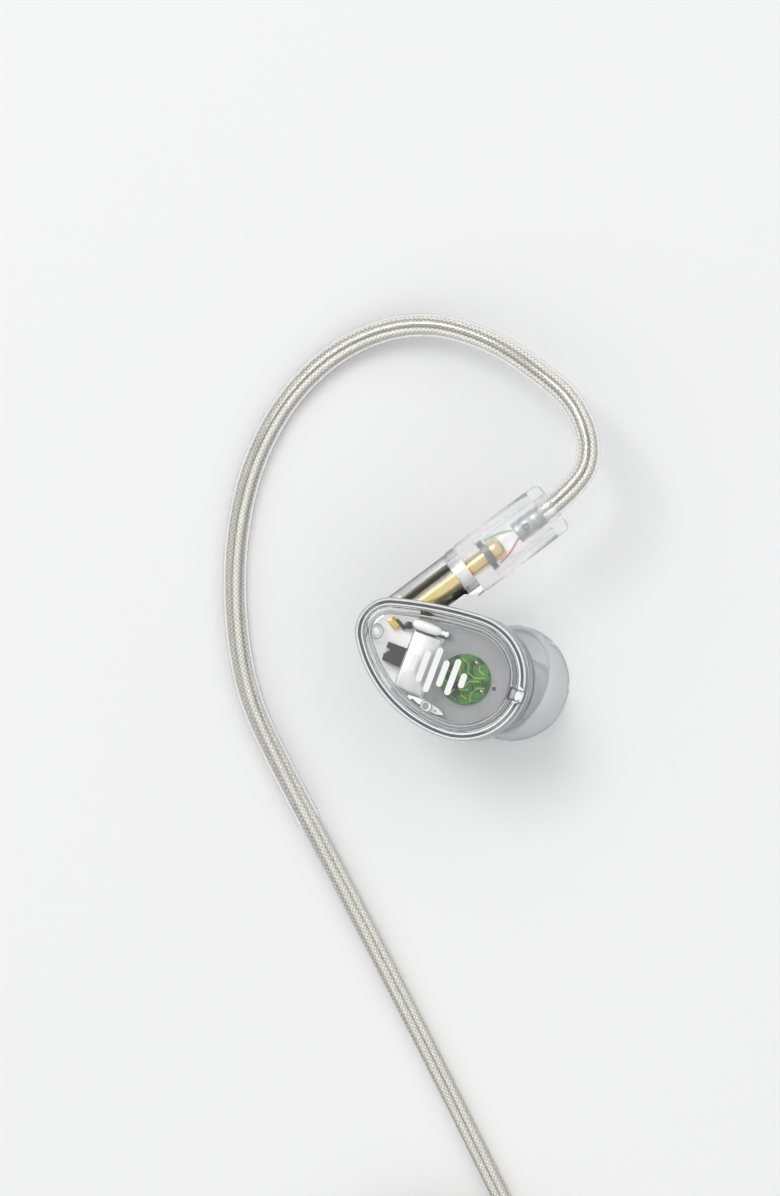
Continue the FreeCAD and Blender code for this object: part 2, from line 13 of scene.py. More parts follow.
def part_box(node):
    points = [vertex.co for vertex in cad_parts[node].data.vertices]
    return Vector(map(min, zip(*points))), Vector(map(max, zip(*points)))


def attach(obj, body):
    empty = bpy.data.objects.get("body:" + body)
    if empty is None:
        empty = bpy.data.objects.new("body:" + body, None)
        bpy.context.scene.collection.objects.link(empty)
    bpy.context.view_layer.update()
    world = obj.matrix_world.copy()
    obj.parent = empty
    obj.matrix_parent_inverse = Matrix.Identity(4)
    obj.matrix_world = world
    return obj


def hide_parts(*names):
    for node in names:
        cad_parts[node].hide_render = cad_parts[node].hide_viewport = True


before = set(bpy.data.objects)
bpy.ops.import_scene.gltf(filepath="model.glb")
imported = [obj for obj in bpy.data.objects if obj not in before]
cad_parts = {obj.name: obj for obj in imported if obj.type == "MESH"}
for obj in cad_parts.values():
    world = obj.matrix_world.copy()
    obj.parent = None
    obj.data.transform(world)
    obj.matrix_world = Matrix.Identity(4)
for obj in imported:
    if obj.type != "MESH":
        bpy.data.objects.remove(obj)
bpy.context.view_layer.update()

LOG = logging.getLogger("in_ear_monitors")

# Every size below is in millimetres and is turned to metres where a mesh or curve is made.
MM = 0.001

# The board's middle in the ear frame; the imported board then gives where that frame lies.
BOARD_AT = Vector((0.29, -0.30, 0.0))
_low, _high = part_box("crossover_board_right")
EAR = (_low + _high) / (2 * MM) - BOARD_AT
EAR.z = 0.0

# Heights and axes that the pieces share, in the ear frame
FACE_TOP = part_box("face_cover_right")[1].z / MM
PLATE_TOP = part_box("inner_frame_right")[1].z / MM
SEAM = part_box("cover_seal_right")[0].z / MM
PLUG_FACE = Vector((0.72, 10.42, 11.4))
PLUG_DIR = Vector((0.8, 0.6, 0.0))
UP = Vector((0, 0, 1))

# The latch, armature, bracket and print all lean by this much, and so do these two directions
LEAN_DEG = -20.4
LEAN_ON = Vector((math.cos(math.radians(LEAN_DEG)), math.sin(math.radians(LEAN_DEG)), 0))
LEAN_UP = Vector((-LEAN_ON.y, LEAN_ON.x, 0))

# Radians that a wave texture of scale 1 turns for each unit along X: with straight and with diagonal bands
BAND_RATE = 20.0
DIAGONAL_RATE = 10.0


class Side(Enum):
    """Which ear a piece belongs to; the value is the sign of Y."""

    RIGHT = 1
    LEFT = -1

    @property
    def tag(self) -> str:
        """The ending of this side's names."""
        return self.name.lower()

    def place(self, point: Vector) -> Vector:
        """A point of the ear frame, on this side of the whole part."""
        at = point + EAR
        return Vector((at.x, self.value * at.y, at.z))


def linear(hex_colour: str) -> tuple[float, float, float, float]:
    """Turns an sRGB hex colour into Blender's linear values.

    Args:
        hex_colour: six hex digits after a hash.

    Returns:
        Red, green, blue and a full alpha.
    """
    parts = [int(hex_colour[i : i + 2], 16) / 255 for i in (1, 3, 5)]
    values = [c / 12.92 if c <= 0.04045 else ((c + 0.055) / 1.055) ** 2.4 for c in parts]
    return (*values, 1.0)


# Meshes


def across(axis: Vector) -> tuple[Vector, Vector]:
    """Two unit vectors square to an axis and to each other."""
    helper = UP if abs(axis.z) < 0.9 else Vector((1, 0, 0))
    side = axis.cross(helper).normalized()
    return side, axis.cross(side).normalized()


def arc_through(
    first: tuple[float, float],
    middle: tuple[float, float],
    last: tuple[float, float],
    steps: int,
) -> list[tuple[float, float]]:
    """Points on the arc through three points.

    Args:
        first: where it starts.
        middle: a point on its way.
        last: where it ends.
        steps: how many stretches it is divided in.

    Returns:
        The points, both ends included.
    """
    (ax, ay), (bx, by), (cx, cy) = first, middle, last
    scale = 2 * (ax * (by - cy) + bx * (cy - ay) + cx * (ay - by))
    squares = [x * x + y * y for x, y in (first, middle, last)]
    x = (squares[0] * (by - cy) + squares[1] * (cy - ay) + squares[2] * (ay - by)) / scale
    y = (squares[0] * (cx - bx) + squares[1] * (ax - cx) + squares[2] * (bx - ax)) / scale
    radius = math.hypot(ax - x, ay - y)
    start, turn = math.atan2(ay - y, ax - x), math.atan2(cy - y, cx - x)
    swept = (turn - start + math.pi) % (2 * math.pi) - math.pi
    angles = [start + swept * k / steps for k in range(steps + 1)]
    return [(x + radius * math.cos(a), y + radius * math.sin(a)) for a in angles]


def carried_frames(path: Sequence[Vector]) -> list[tuple[Vector, Vector]]:
    """Two vectors square to the path at each of its points, carried along without twist.

    Args:
        path: the points in order.

    Returns:
        One pair of unit vectors per point.
    """
    tangents = [(b - a).normalized() for a, b in zip(path, path[1:])]
    tangents.append(tangents[-1])
    side, _ = across(tangents[0])
    frames = []
    for tangent in tangents:
        side = (side - tangent * side.dot(tangent)).normalized()
        frames.append((side, tangent.cross(side)))
    return frames


class Shape:
    """A closed mesh in the making, in millimetres."""

    def __init__(self) -> None:
        """Starts with nothing in it."""
        self.points: list[Vector] = []
        self.faces: list[tuple[int, ...]] = []
        self.layout: list[tuple[float, float]] = []

    def rings(self, rings: Sequence[Sequence[Vector]], loop: bool = False) -> "Shape":
        """Joins rings of equal length with quads.

        Args:
            rings: the rings in order.
            loop: joins the last ring to the first, or else both ends are capped.

        Returns:
            This shape.
        """
        first, count = len(self.points), len(rings[0])
        for ring in rings:
            self.points += [Vector(p) for p in ring]
        for r in range(len(rings) if loop else len(rings) - 1):
            a, b = first + r * count, first + (r + 1) % len(rings) * count
            self.faces += [(a + i, a + (i + 1) % count, b + (i + 1) % count, b + i) for i in range(count)]
        if not loop:
            last = first + (len(rings) - 1) * count
            self.faces += [tuple(range(first, first + count)), tuple(range(last, last + count))]
        return self

    def lathe(
        self,
        at: Vector,
        axis: Vector,
        outline: Sequence[tuple[float, float]],
        steps: int = 64,
        loop: bool = False,
    ) -> "Shape":
        """Turns an outline of (distance along the axis, radius) about the axis.

        Args:
            at: where the distance is 0.
            axis: the unit axis.
            outline: the outline's points.
            steps: points round the axis.
            loop: the outline closes on itself, as a hollow piece's does.

        Returns:
            This shape.
        """
        side, up = across(axis)
        turns = [(math.cos(a), math.sin(a)) for a in np.linspace(0, 2 * math.pi, steps, endpoint=False)]
        rings = [[at + axis * s + (side * c + up * d) * r for c, d in turns] for s, r in outline]
        return self.rings(rings, loop)

    def tube(self, path: Sequence[Vector], radius: float | Sequence[float], sides: int = 12) -> "Shape":
        """A round bar along a path.

        Args:
            path: the points of its middle line.
            radius: one radius, or one for each point.
            sides: points round it.

        Returns:
            This shape.
        """
        radii = [radius] * len(path) if isinstance(radius, (int, float)) else radius
        angles = np.linspace(0, 2 * math.pi, sides, endpoint=False)
        rings = [
            [p + (u * math.cos(a) + v * math.sin(a)) * r for a in angles]
            for p, r, (u, v) in zip(path, radii, carried_frames(path))
        ]
        step, along = 2 * math.pi * radii[0] / sides, 0.0
        for a, b in zip(path, path[1:]):
            reach = (b - a).length
            for i in range(sides):
                self.layout += [(i * step, along), ((i + 1) * step, along)]
                self.layout += [((i + 1) * step, along + reach), (i * step, along + reach)]
            along += reach
        self.layout += [(0.0, 0.0)] * (2 * sides)
        return self.rings(rings)

    def pipe(self, path: Sequence[Vector], outer: float, inner: float, sides: int = 28) -> "Shape":
        """A hollow tube along a path, with its two end faces.

        Args:
            path: the points of its middle line.
            outer: its outer radius.
            inner: its bore's radius.
            sides: points round it.

        Returns:
            This shape.
        """
        angles = np.linspace(0, 2 * math.pi, sides, endpoint=False)
        walls = [
            [
                [p + (u * math.cos(a) + v * math.sin(a)) * radius for a in angles]
                for p, (u, v) in zip(path, carried_frames(path))
            ]
            for radius in (outer, inner)
        ]
        return self.rings(walls[0] + walls[1][::-1], loop=True)

    def slab(self, outline: Sequence[Vector], low: float, high: float, bevel: float = 0.0) -> "Shape":
        """A flat piece with that outline, its top edge eased by a small chamfer.

        Args:
            outline: the outline's points; their height is not used.
            low: the height of its underside.
            high: the height of its top.
            bevel: the chamfer's height, or 0 for none.

        Returns:
            This shape.
        """
        middle = sum(outline, Vector()) / len(outline)
        shrunk = [p + (middle - p).normalized() * bevel for p in outline]
        rings = [[Vector((p.x, p.y, z)) for p in outline] for z in (low, high - bevel)]
        if bevel:
            rings.append([Vector((p.x, p.y, high)) for p in shrunk])
        return self.rings(rings)

    def block(self, centre: Vector, size: Vector, turn_deg: float = 0.0, bevel: float = 0.06) -> "Shape":
        """A box with rounded edges, turned about its own upright.

        Args:
            centre: its middle.
            size: its three sides.
            turn_deg: the turn about Z.
            bevel: the radius of its edges.

        Returns:
            This shape.
        """
        mesh = bmesh.new()
        bmesh.ops.create_cube(mesh, size=1.0)
        bmesh.ops.scale(mesh, vec=size, verts=mesh.verts)
        bmesh.ops.bevel(mesh, geom=mesh.edges[:], offset=bevel, segments=2, profile=0.5, affect="EDGES")
        turn = Matrix.Translation(centre) @ Matrix.Rotation(math.radians(turn_deg), 4, "Z")
        mesh.verts.index_update()
        first = len(self.points)
        self.points += [turn @ v.co for v in mesh.verts]
        self.faces += [tuple(first + v.index for v in f.verts) for f in mesh.faces]
        mesh.free()
        return self


def finish_mesh(mesh: bpy.types.Mesh, sharp_deg: float) -> None:
    """Turns the faces outwards and smooths all edges flatter than an angle."""
    work = bmesh.new()
    work.from_mesh(mesh)
    bmesh.ops.recalc_face_normals(work, faces=work.faces[:])
    work.to_mesh(mesh)
    work.free()
    mesh.shade_smooth()
    mesh.set_sharp_from_angle(angle=math.radians(sharp_deg))


def make(
    name: str,
    shape: Shape,
    finish: "Finish",
    body: str,
    side: Side | None = None,
    replaces: Sequence[str] = (),
    sharp_deg: float = 38.0,
) -> bpy.types.Object:
    """Makes a piece of the object from a shape and puts it on its body.

    Args:
        name: the piece's name.
        shape: its mesh, in the ear frame when a side is given, or else in the part's frame.
        finish: what it is made of.
        body: the body that it moves with.
        side: the ear that it belongs to.
        replaces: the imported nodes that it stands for.
        sharp_deg: edges that turn more than this stay sharp.

    Returns:
        The new object.
    """
    mesh = bpy.data.meshes.new(name)
    points = [(side.place(p) if side else p) * MM for p in shape.points]
    mesh.from_pydata(points, [], shape.faces)
    if len(shape.layout) == len(mesh.loops):
        layer = mesh.uv_layers.new(name="UVMap")
        for corner, place in zip(layer.uv, shape.layout):
            corner.vector = place
    finish_mesh(mesh, sharp_deg)
    mesh.materials.append(finish.material())
    piece = bpy.data.objects.new(name, mesh)
    bpy.context.scene.collection.objects.link(piece)
    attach(piece, body)
    if replaces:
        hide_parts(*replaces)
    LOG.info("%s rides on %s", name, body)
    return piece


def dress(node: str, finish: "Finish") -> None:
    """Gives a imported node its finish."""
    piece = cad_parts[node]
    piece.data.materials.clear()
    piece.data.materials.append(finish.material())
    LOG.info("%s is %s", node, finish.name)


# Finishes


def add(
    tree: bpy.types.NodeTree,
    kind: str,
    inputs: dict | None = None,
    **settings: object,
) -> bpy.types.Node:
    """Adds a node with its settings; an input is a value, or a socket to link from.

    Args:
        tree: the node tree.
        kind: the node's type.
        inputs: socket names or numbers, and what goes into them.
        settings: the node's own properties.

    Returns:
        The node.
    """
    made = tree.nodes.new(kind)
    for key, value in settings.items():
        setattr(made, key, value)
    for key, value in (inputs or {}).items():
        if isinstance(value, bpy.types.NodeSocket):
            tree.links.new(value, made.inputs[key])
        else:
            made.inputs[key].default_value = value
    return made


def ramp(
    tree: bpy.types.NodeTree,
    factor: bpy.types.NodeSocket,
    stops: Sequence[tuple[float, str]],
) -> bpy.types.NodeSocket:
    """A colour ramp with sRGB hex stops.

    Args:
        tree: the node tree.
        factor: what moves along the ramp.
        stops: (place, colour) in order.

    Returns:
        The ramp's colour socket.
    """
    made = add(tree, "ShaderNodeValToRGB", {"Fac": factor})
    band = made.color_ramp
    while len(band.elements) < len(stops):
        band.elements.new(1.0)
    for element, (at, colour) in zip(band.elements, stops):
        element.position = at
        element.color = linear(colour)
    return made.outputs["Color"]


def span(
    tree: bpy.types.NodeTree,
    factor: bpy.types.NodeSocket,
    low: float,
    high: float,
) -> bpy.types.NodeSocket:
    """Maps a 0 to 1 value to low to high."""
    made = add(tree, "ShaderNodeMapRange", {"Value": factor, "To Min": low, "To Max": high})
    return made.outputs["Result"]


@dataclass(frozen=True)
class Finish:
    """What a surface is made of. Each kind below fills in shade()."""

    name: str

    def material(self) -> bpy.types.Material:
        """The finish's material, made on its first use."""
        found = bpy.data.materials.get(self.name)
        if found:
            return found
        material = bpy.data.materials.new(self.name)
        material.use_nodes = True
        tree = material.node_tree
        tree.nodes.clear()
        surface = self.shade(tree)
        add(tree, "ShaderNodeOutputMaterial", {"Surface": surface})
        return material

    def shade(self, tree: bpy.types.NodeTree) -> bpy.types.NodeSocket:
        """Builds the shader and returns its socket."""
        raise NotImplementedError

    def millimetres(self, tree: bpy.types.NodeTree) -> bpy.types.NodeSocket:
        """Places on the surface, in millimetres."""
        place = add(tree, "ShaderNodeTexCoord")
        scaled = add(
            tree,
            "ShaderNodeVectorMath",
            {0: place.outputs["Object"], "Scale": 1 / MM},
            operation="SCALE",
        )
        return scaled.outputs["Vector"]

    def noise(self, tree: bpy.types.NodeTree, grain_mm: float, detail: float = 3.0) -> bpy.types.NodeSocket:
        """A noise whose blotches are about grain_mm across."""
        made = add(
            tree,
            "ShaderNodeTexNoise",
            {"Vector": self.millimetres(tree), "Scale": 1 / grain_mm, "Detail": detail},
        )
        return made.outputs["Fac"]

    def bump(
        self,
        tree: bpy.types.NodeTree,
        height: bpy.types.NodeSocket,
        depth_mm: float,
    ) -> bpy.types.NodeSocket:
        """A surface normal raised by a height pattern."""
        made = add(tree, "ShaderNodeBump", {"Height": height, "Distance": depth_mm * MM, "Strength": 1.0})
        return made.outputs["Normal"]


@dataclass(frozen=True)
class Clear(Finish):
    """A clear plastic: light from lamps passes it, and what lies behind shows through it."""

    tint: str = "#FEFEFE"
    # edge is the colour of painted shade that the surface darkens to at grazing view, over the span of facing
    # values in edge_band
    edge: str = "#8D8F90"
    edge_band: tuple[float, float] = (0.60, 0.92)
    roughness: float = 0.02
    ior: float = 1.49
    wave_mm: float = 2.5
    wave_depth_mm: float = 0.004
    milk: float = 0.0

    def shade(self, tree: bpy.types.NodeTree) -> bpy.types.NodeSocket:
        """Refracting plastic, faintly wavy, with painted shade: its colour darkens where the eye looks along
        its wall.
        """
        wave = self.noise(tree, self.wave_mm, 2.0)
        facing = add(tree, "ShaderNodeLayerWeight", {"Blend": 0.5}).outputs["Facing"]
        # Painted shade: depth carries the base colour from the tint to the darker edge colour where the
        # surface is seen at a grazing angle
        depth = ramp(tree, facing, [(self.edge_band[0], self.tint), (self.edge_band[1], self.edge)])
        body = add(
            tree,
            "ShaderNodeBsdfPrincipled",
            {
                "Base Color": depth,
                "Roughness": span(tree, wave, self.roughness * 0.7, self.roughness * 1.3),
                "IOR": self.ior,
                "Transmission Weight": 1.0 - self.milk,
                "Normal": self.bump(tree, wave, self.wave_depth_mm),
            },
        )
        open_way = add(tree, "ShaderNodeBsdfTransparent", {"Color": linear("#FFFFFF")})
        ray = add(tree, "ShaderNodeLightPath")
        mixed = add(
            tree,
            "ShaderNodeMixShader",
            {0: ray.outputs["Is Shadow Ray"], 1: body.outputs[0], 2: open_way.outputs[0]},
        )
        return mixed.outputs[0]


@dataclass(frozen=True)
class Moulded(Finish):
    """An opaque plastic, rubber or print with a fine moulded grain."""

    colour: str = "#808080"
    shade_colour: str = "#707070"
    roughness: float = 0.5
    grain_mm: float = 0.12
    depth_mm: float = 0.004

    def shade(self, tree: bpy.types.NodeTree) -> bpy.types.NodeSocket:
        """Grain in the normal, and a slow drift of colour and gloss."""
        slow = self.noise(tree, 3.0)
        body = add(
            tree,
            "ShaderNodeBsdfPrincipled",
            {
                "Base Color": ramp(tree, slow, [(0.3, self.shade_colour), (0.7, self.colour)]),
                "Roughness": span(tree, slow, self.roughness * 0.85, self.roughness * 1.15),
                "Normal": self.bump(tree, self.noise(tree, self.grain_mm), self.depth_mm),
            },
        )
        return body.outputs[0]


@dataclass(frozen=True)
class Metal(Finish):
    """A metal, with fine drawn or turned lines."""

    colour: str = "#C8C8C8"
    worn_colour: str = "#B0B0B0"
    roughness: float = 0.25
    line_mm: float = 0.06
    depth_mm: float = 0.0015
    stretch: tuple[float, float, float] = (1.0, 1.0, 1.0)

    def shade(self, tree: bpy.types.NodeTree) -> bpy.types.NodeSocket:
        """Metallic base with stretched noise for the tool lines."""
        drawn = add(
            tree,
            "ShaderNodeVectorMath",
            {0: self.millimetres(tree), 1: self.stretch},
            operation="MULTIPLY",
        )
        lines = add(
            tree,
            "ShaderNodeTexNoise",
            {"Vector": drawn.outputs["Vector"], "Scale": 1 / self.line_mm, "Detail": 2.0},
        )
        slow = self.noise(tree, 1.6)
        body = add(
            tree,
            "ShaderNodeBsdfPrincipled",
            {
                "Base Color": ramp(tree, slow, [(0.35, self.worn_colour), (0.65, self.colour)]),
                "Metallic": 1.0,
                "Roughness": span(tree, lines.outputs["Fac"], self.roughness * 0.8, self.roughness * 1.3),
                "Normal": self.bump(tree, lines.outputs["Fac"], self.depth_mm),
            },
        )
        return body.outputs[0]


@dataclass(frozen=True)
class Braid(Finish):
    """Fine silvered wires wound both ways round a core; the mesh's own layout runs in millimetres."""

    colour: str = "#FDFCF6"
    gap: str = "#CFCDC4"
    pitch_mm: float = 0.5
    depth_mm: float = 0.03
    roughness: float = 0.42
    metallic: float = 0.12

    def shade(self, tree: bpy.types.NodeTree) -> bpy.types.NodeSocket:
        """Two sets of diagonal ribs that cross each other."""
        place = add(tree, "ShaderNodeUVMap", uv_map="UVMap").outputs["UV"]
        scale = 2 * math.pi / (self.pitch_mm * DIAGONAL_RATE)
        ribs = []
        for way in (1.0, -1.0):
            mirror = {0: place, 1: (way, 1.0, 1.0)}
            turned = add(tree, "ShaderNodeVectorMath", mirror, operation="MULTIPLY")
            wave = add(
                tree,
                "ShaderNodeTexWave",
                {"Vector": turned.outputs["Vector"], "Scale": scale, "Distortion": 0.0},
                wave_type="BANDS",
                bands_direction="DIAGONAL",
            )
            ribs.append(wave.outputs["Fac"])
        weave = add(tree, "ShaderNodeMath", {0: ribs[0], 1: ribs[1]}, operation="MULTIPLY").outputs[0]
        body = add(
            tree,
            "ShaderNodeBsdfPrincipled",
            {
                "Base Color": ramp(tree, weave, [(0.0, self.gap), (0.35, self.colour)]),
                "Metallic": self.metallic,
                "Roughness": self.roughness,
                "Normal": self.bump(tree, weave, self.depth_mm),
            },
        )
        return body.outputs[0]


@dataclass(frozen=True)
class PaintedReflectionGold(Finish):
    """Gold plate with painted reflections: a bright painted highlight stripe along its top, and painted dark
    reflections to both sides.
    """

    # colour and bright are the two golds of the painted highlight stripe
    colour: str = "#E8D28C"
    bright: str = "#EEDC9C"
    roughness: float = 0.14
    reach: float = 0.6

    def shade(self, tree: bpy.types.NodeTree) -> bpy.types.NodeSocket:
        """The painted highlight and reflections lie by the surface's own direction, so they stay on the
        metal.
        """
        way = add(tree, "ShaderNodeTexCoord").outputs["Normal"]
        across_it = add(tree, "ShaderNodeSeparateXYZ", {0: way}).outputs["X"]
        place = add(
            tree,
            "ShaderNodeMapRange",
            {"Value": across_it, "From Min": -self.reach, "From Max": self.reach},
        ).outputs["Result"]
        # Painted reflections: near-black, brown and olive bands to both sides of the bright stripe
        stops = [(0.0, "#2B261B"), (0.20, "#55492E"), (0.36, "#413820")]
        stops += [(0.42, self.colour), (0.60, self.bright)]
        stops += [(0.66, "#8A8266"), (0.80, "#77715C"), (0.87, "#23221E"), (1.0, "#2E2C28")]
        body = add(
            tree,
            "ShaderNodeBsdfPrincipled",
            {
                "Base Color": ramp(tree, place, stops),
                "Metallic": 0.85,
                "Roughness": span(tree, self.noise(tree, 0.4), self.roughness * 0.8, self.roughness * 1.3),
                "Normal": self.bump(tree, self.noise(tree, 0.08), 0.001),
            },
        )
        return body.outputs[0]


@dataclass(frozen=True)
class SolderMask(Finish):
    """Green solder resist over copper: the copper fields show lighter than the bare board between them."""

    copper: str = "#3F7E2A"
    worn: str = "#54893A"
    gap: str = "#234A20"
    cell_mm: float = 0.75
    depth_mm: float = 0.02

    def shade(self, tree: bpy.types.NodeTree) -> bpy.types.NodeSocket:
        """Angular copper fields under a glossy resist."""
        cells = add(
            tree,
            "ShaderNodeTexVoronoi",
            {"Vector": self.millimetres(tree), "Scale": 1 / self.cell_mm, "Randomness": 0.85},
            distance="CHEBYCHEV",
            feature="F2",
        )
        stops = [(0.52, self.gap), (0.60, self.copper), (0.95, self.worn)]
        body = add(
            tree,
            "ShaderNodeBsdfPrincipled",
            {
                "Base Color": ramp(tree, cells.outputs["Distance"], stops),
                "Roughness": span(tree, self.noise(tree, 0.5), 0.22, 0.38),
                "Normal": self.bump(tree, cells.outputs["Distance"], self.depth_mm),
            },
        )
        return body.outputs[0]


@dataclass(frozen=True)
class Woven(Finish):
    """A woven strap or wire mesh: two sets of threads that pass over and under each other."""

    colour: str = "#D8DADC"
    gap: str = "#8E9092"
    thread_mm: float = 0.35
    roughness: float = 0.7
    metallic: float = 0.0
    depth_mm: float = 0.05

    def shade(self, tree: bpy.types.NodeTree) -> bpy.types.NodeSocket:
        """Crossed waves, one thread each."""
        place = self.millimetres(tree)
        scale = 2 * math.pi / (self.thread_mm * BAND_RATE)
        waves = [
            add(
                tree,
                "ShaderNodeTexWave",
                {"Vector": place, "Scale": scale, "Distortion": 0.0},
                wave_type="BANDS",
                bands_direction=way,
            ).outputs["Fac"]
            for way in ("X", "Z")
        ]
        weave = add(tree, "ShaderNodeMath", {0: waves[0], 1: waves[1]}, operation="MAXIMUM").outputs[0]
        body = add(
            tree,
            "ShaderNodeBsdfPrincipled",
            {
                "Base Color": ramp(tree, weave, [(0.2, self.gap), (0.8, self.colour)]),
                "Metallic": self.metallic,
                "Roughness": self.roughness,
                "Normal": self.bump(tree, weave, self.depth_mm),
            },
        )
        return body.outputs[0]


# Polycarbonate, injection moulded and polished: hard clear walls whose edges draw dark and bright lines; the
# dark lines are partly painted shade at grazing view
CLEAR_CASE = Clear("polished clear polycarbonate", edge="#6C6E70", edge_band=(0.30, 0.72), ior=1.45)
# Polyolefin moulded in a blasted tool: light passes, but what is inside goes soft
FROSTED = Clear(
    "frosted clear moulding",
    edge="#D0D2D3",
    roughness=0.2,
    ior=1.28,
    wave_depth_mm=0.0,
    milk=0.11,
)
# Soft vinyl, extruded: a glassy sleeve over the conductors
JACKET = Clear(
    "clear extruded vinyl",
    edge="#C9C9C6",
    roughness=0.04,
    ior=1.36,
    wave_mm=1.5,
    wave_depth_mm=0.003,
)
# Formed clear tube, extruded and bent with heat: glassy, with painted soft grey shade along its sides
HOOK_TUBE = Clear("clear formed tube", edge="#BDBEBE", roughness=0.02, ior=1.42, wave_mm=3.0)
# Silicone, moulded: soft, grey and half see-through
SILICONE = Clear(
    "grey moulded silicone",
    tint="#EDEEEF",
    edge="#C4C6C8",
    roughness=0.25,
    ior=1.2,
    wave_depth_mm=0.001,
    milk=0.45,
)
# Silicone cord of the seal, milky: it lights the rim from below
SEAL = Clear("milky silicone cord", tint="#FAFAFA", edge="#E4E5E5", roughness=0.3, ior=1.2, milk=0.9)
# Acrylic post with a milky core, extruded: a soft white spot with glassy edges
MILKY = Clear("milky extruded tube", tint="#FFFFFF", roughness=0.12, ior=1.42, milk=0.5)
# ABS, moulded white and polished: bright and even, with a soft gloss
WHITE_ABS = Moulded("polished white ABS", "#FFFFFF", "#FAFAFA", roughness=0.3, grain_mm=0.4, depth_mm=0.001)
# Acetal, moulded milky white: a waxy white ring at the socket's mouth
ACETAL = Clear("milky moulded acetal", edge="#B9BBBC", roughness=0.2, ior=1.35, milk=0.8)
# Gold plate over turned brass: warm, sharp reflections
GOLD = Metal("gold plate on turned brass", "#E9CF86", "#DDBB66", roughness=0.16, line_mm=0.05)
# Nickel-iron case of the armature driver, drawn and annealed: pale, with a soft gloss along the draw
NICKEL = Metal(
    "drawn nickel-iron case",
    "#EDEDED",
    "#E0E0E0",
    roughness=0.38,
    line_mm=0.08,
    stretch=(1.0, 0.2, 1.0),
)
# Plated steel of the magnet pot: cool grey, evenly bright
STEEL = Metal("zinc-plated steel", "#B9BBBE", "#9A9DA0", roughness=0.30, line_mm=0.07)
# Rolled steel crimp: a little dull, with the tool's scuffs
CRIMP = Metal("rolled steel crimp", "#B2B4B5", "#9C9E9F", roughness=0.36, line_mm=0.07, depth_mm=0.004)
# Spring wire, polished: small sharp highlights
SPRING = Metal("polished spring steel", "#D5D7D9", "#C5C7CA", roughness=0.12)
# Silver-plated copper braid: 0.1 mm wires, drawn 0.45 mm apart so that they show
BRAID = Braid("silvered copper braid", pitch_mm=0.45)
# The return conductor's braid is bare tinned copper, a tone darker
TINNED_BRAID = Braid("tinned copper braid", "#D9D7CE", "#AAA89F", pitch_mm=0.45)
# The socket's barrel, turned and gold plated: a painted highlight stripe between painted near-black
# reflections
BARREL = PaintedReflectionGold("gold plate with painted reflections")
# Tin-lead solder, reflowed: dull silver domes, slightly pitted
SOLDER = Metal("reflowed solder", "#B4B6B4", "#8E908D", roughness=0.33, line_mm=0.15, depth_mm=0.006)
# ABS, moulded grey in a spark-eroded tool: even and matt
GREY_PLATE = Moulded(
    "spark-textured grey ABS",
    "#A3A4A5",
    "#999A9B",
    roughness=0.48,
    grain_mm=0.10,
    depth_mm=0.003,
)
# Glass-filled nylon, moulded black: a soft dark grey where light falls on it
BLACK = Moulded("black glass-filled nylon", "#3A3A3B", "#2C2C2D", roughness=0.45)
# White pad-printing ink: a thin, dead flat layer
WHITE_INK = Moulded(
    "white pad-printing ink",
    "#FFFFFF",
    "#F8F8F8",
    roughness=0.55,
    grain_mm=0.2,
    depth_mm=0.001,
)
# Lacquer on the signal and return wires: thin, glossy and coloured
GREEN_WIRE = Moulded("green lacquered wire", "#5FA56A", "#4C9058", roughness=0.3)
RED_WIRE = Moulded("red lacquered wire", "#C8525A", "#B03F48", roughness=0.3)
# Glass-epoxy board under solder resist, screened: glossy green, in lighter and darker fields
BOARD = SolderMask("green solder resist")
# Copper under the same resist: yellow-green lines that stand a little proud
TRACE = Moulded("solder resist over copper trace", "#A9C974", "#86B052", roughness=0.28)
# Formed film of the moving-coil driver: a cool, silky grey
FILM = Moulded("formed titanium-coated film", "#C9CCD2", "#AEB2BA", roughness=0.22, grain_mm=0.3)
# Nylon hook-and-loop strap, woven: matt grey, threads drawn at 0.35 mm so that they show
STRAP = Woven("woven nylon strap")
# Stainless mesh of the nozzle, woven: wires 0.12 mm apart with dark gaps
MESH = Woven("stainless filter mesh", "#C9CBCD", "#4B4C4E", thread_mm=0.12, roughness=0.35, metallic=1.0)
# Thermoplastic rubber over the plug's grip, moulded: pale, matt and soft to the eye
GRIP = Moulded("soft-touch grey grip", "#DCDCDC", "#D0D0D0", roughness=0.5, grain_mm=0.08)
# Phenolic, turned: the plug's black washer, glossy and near black
PHENOLIC = Moulded("turned black phenolic", "#161616", "#0E0E0E", roughness=0.4)
# Painted shade: a dark, dull colour put in vents, dents and the narrow gaps between mouldings, where shade
# falls
PAINTED_SHADE = Moulded("painted recess shade", "#55585A", "#4A4C4E", roughness=0.7)
# Lacquered board of the studio's table: pale and dull
TABLE = Moulded("pale table lacquer", "#FBFBFB", "#FBFBFB", roughness=0.75, grain_mm=2.0, depth_mm=0.0)


# Studio


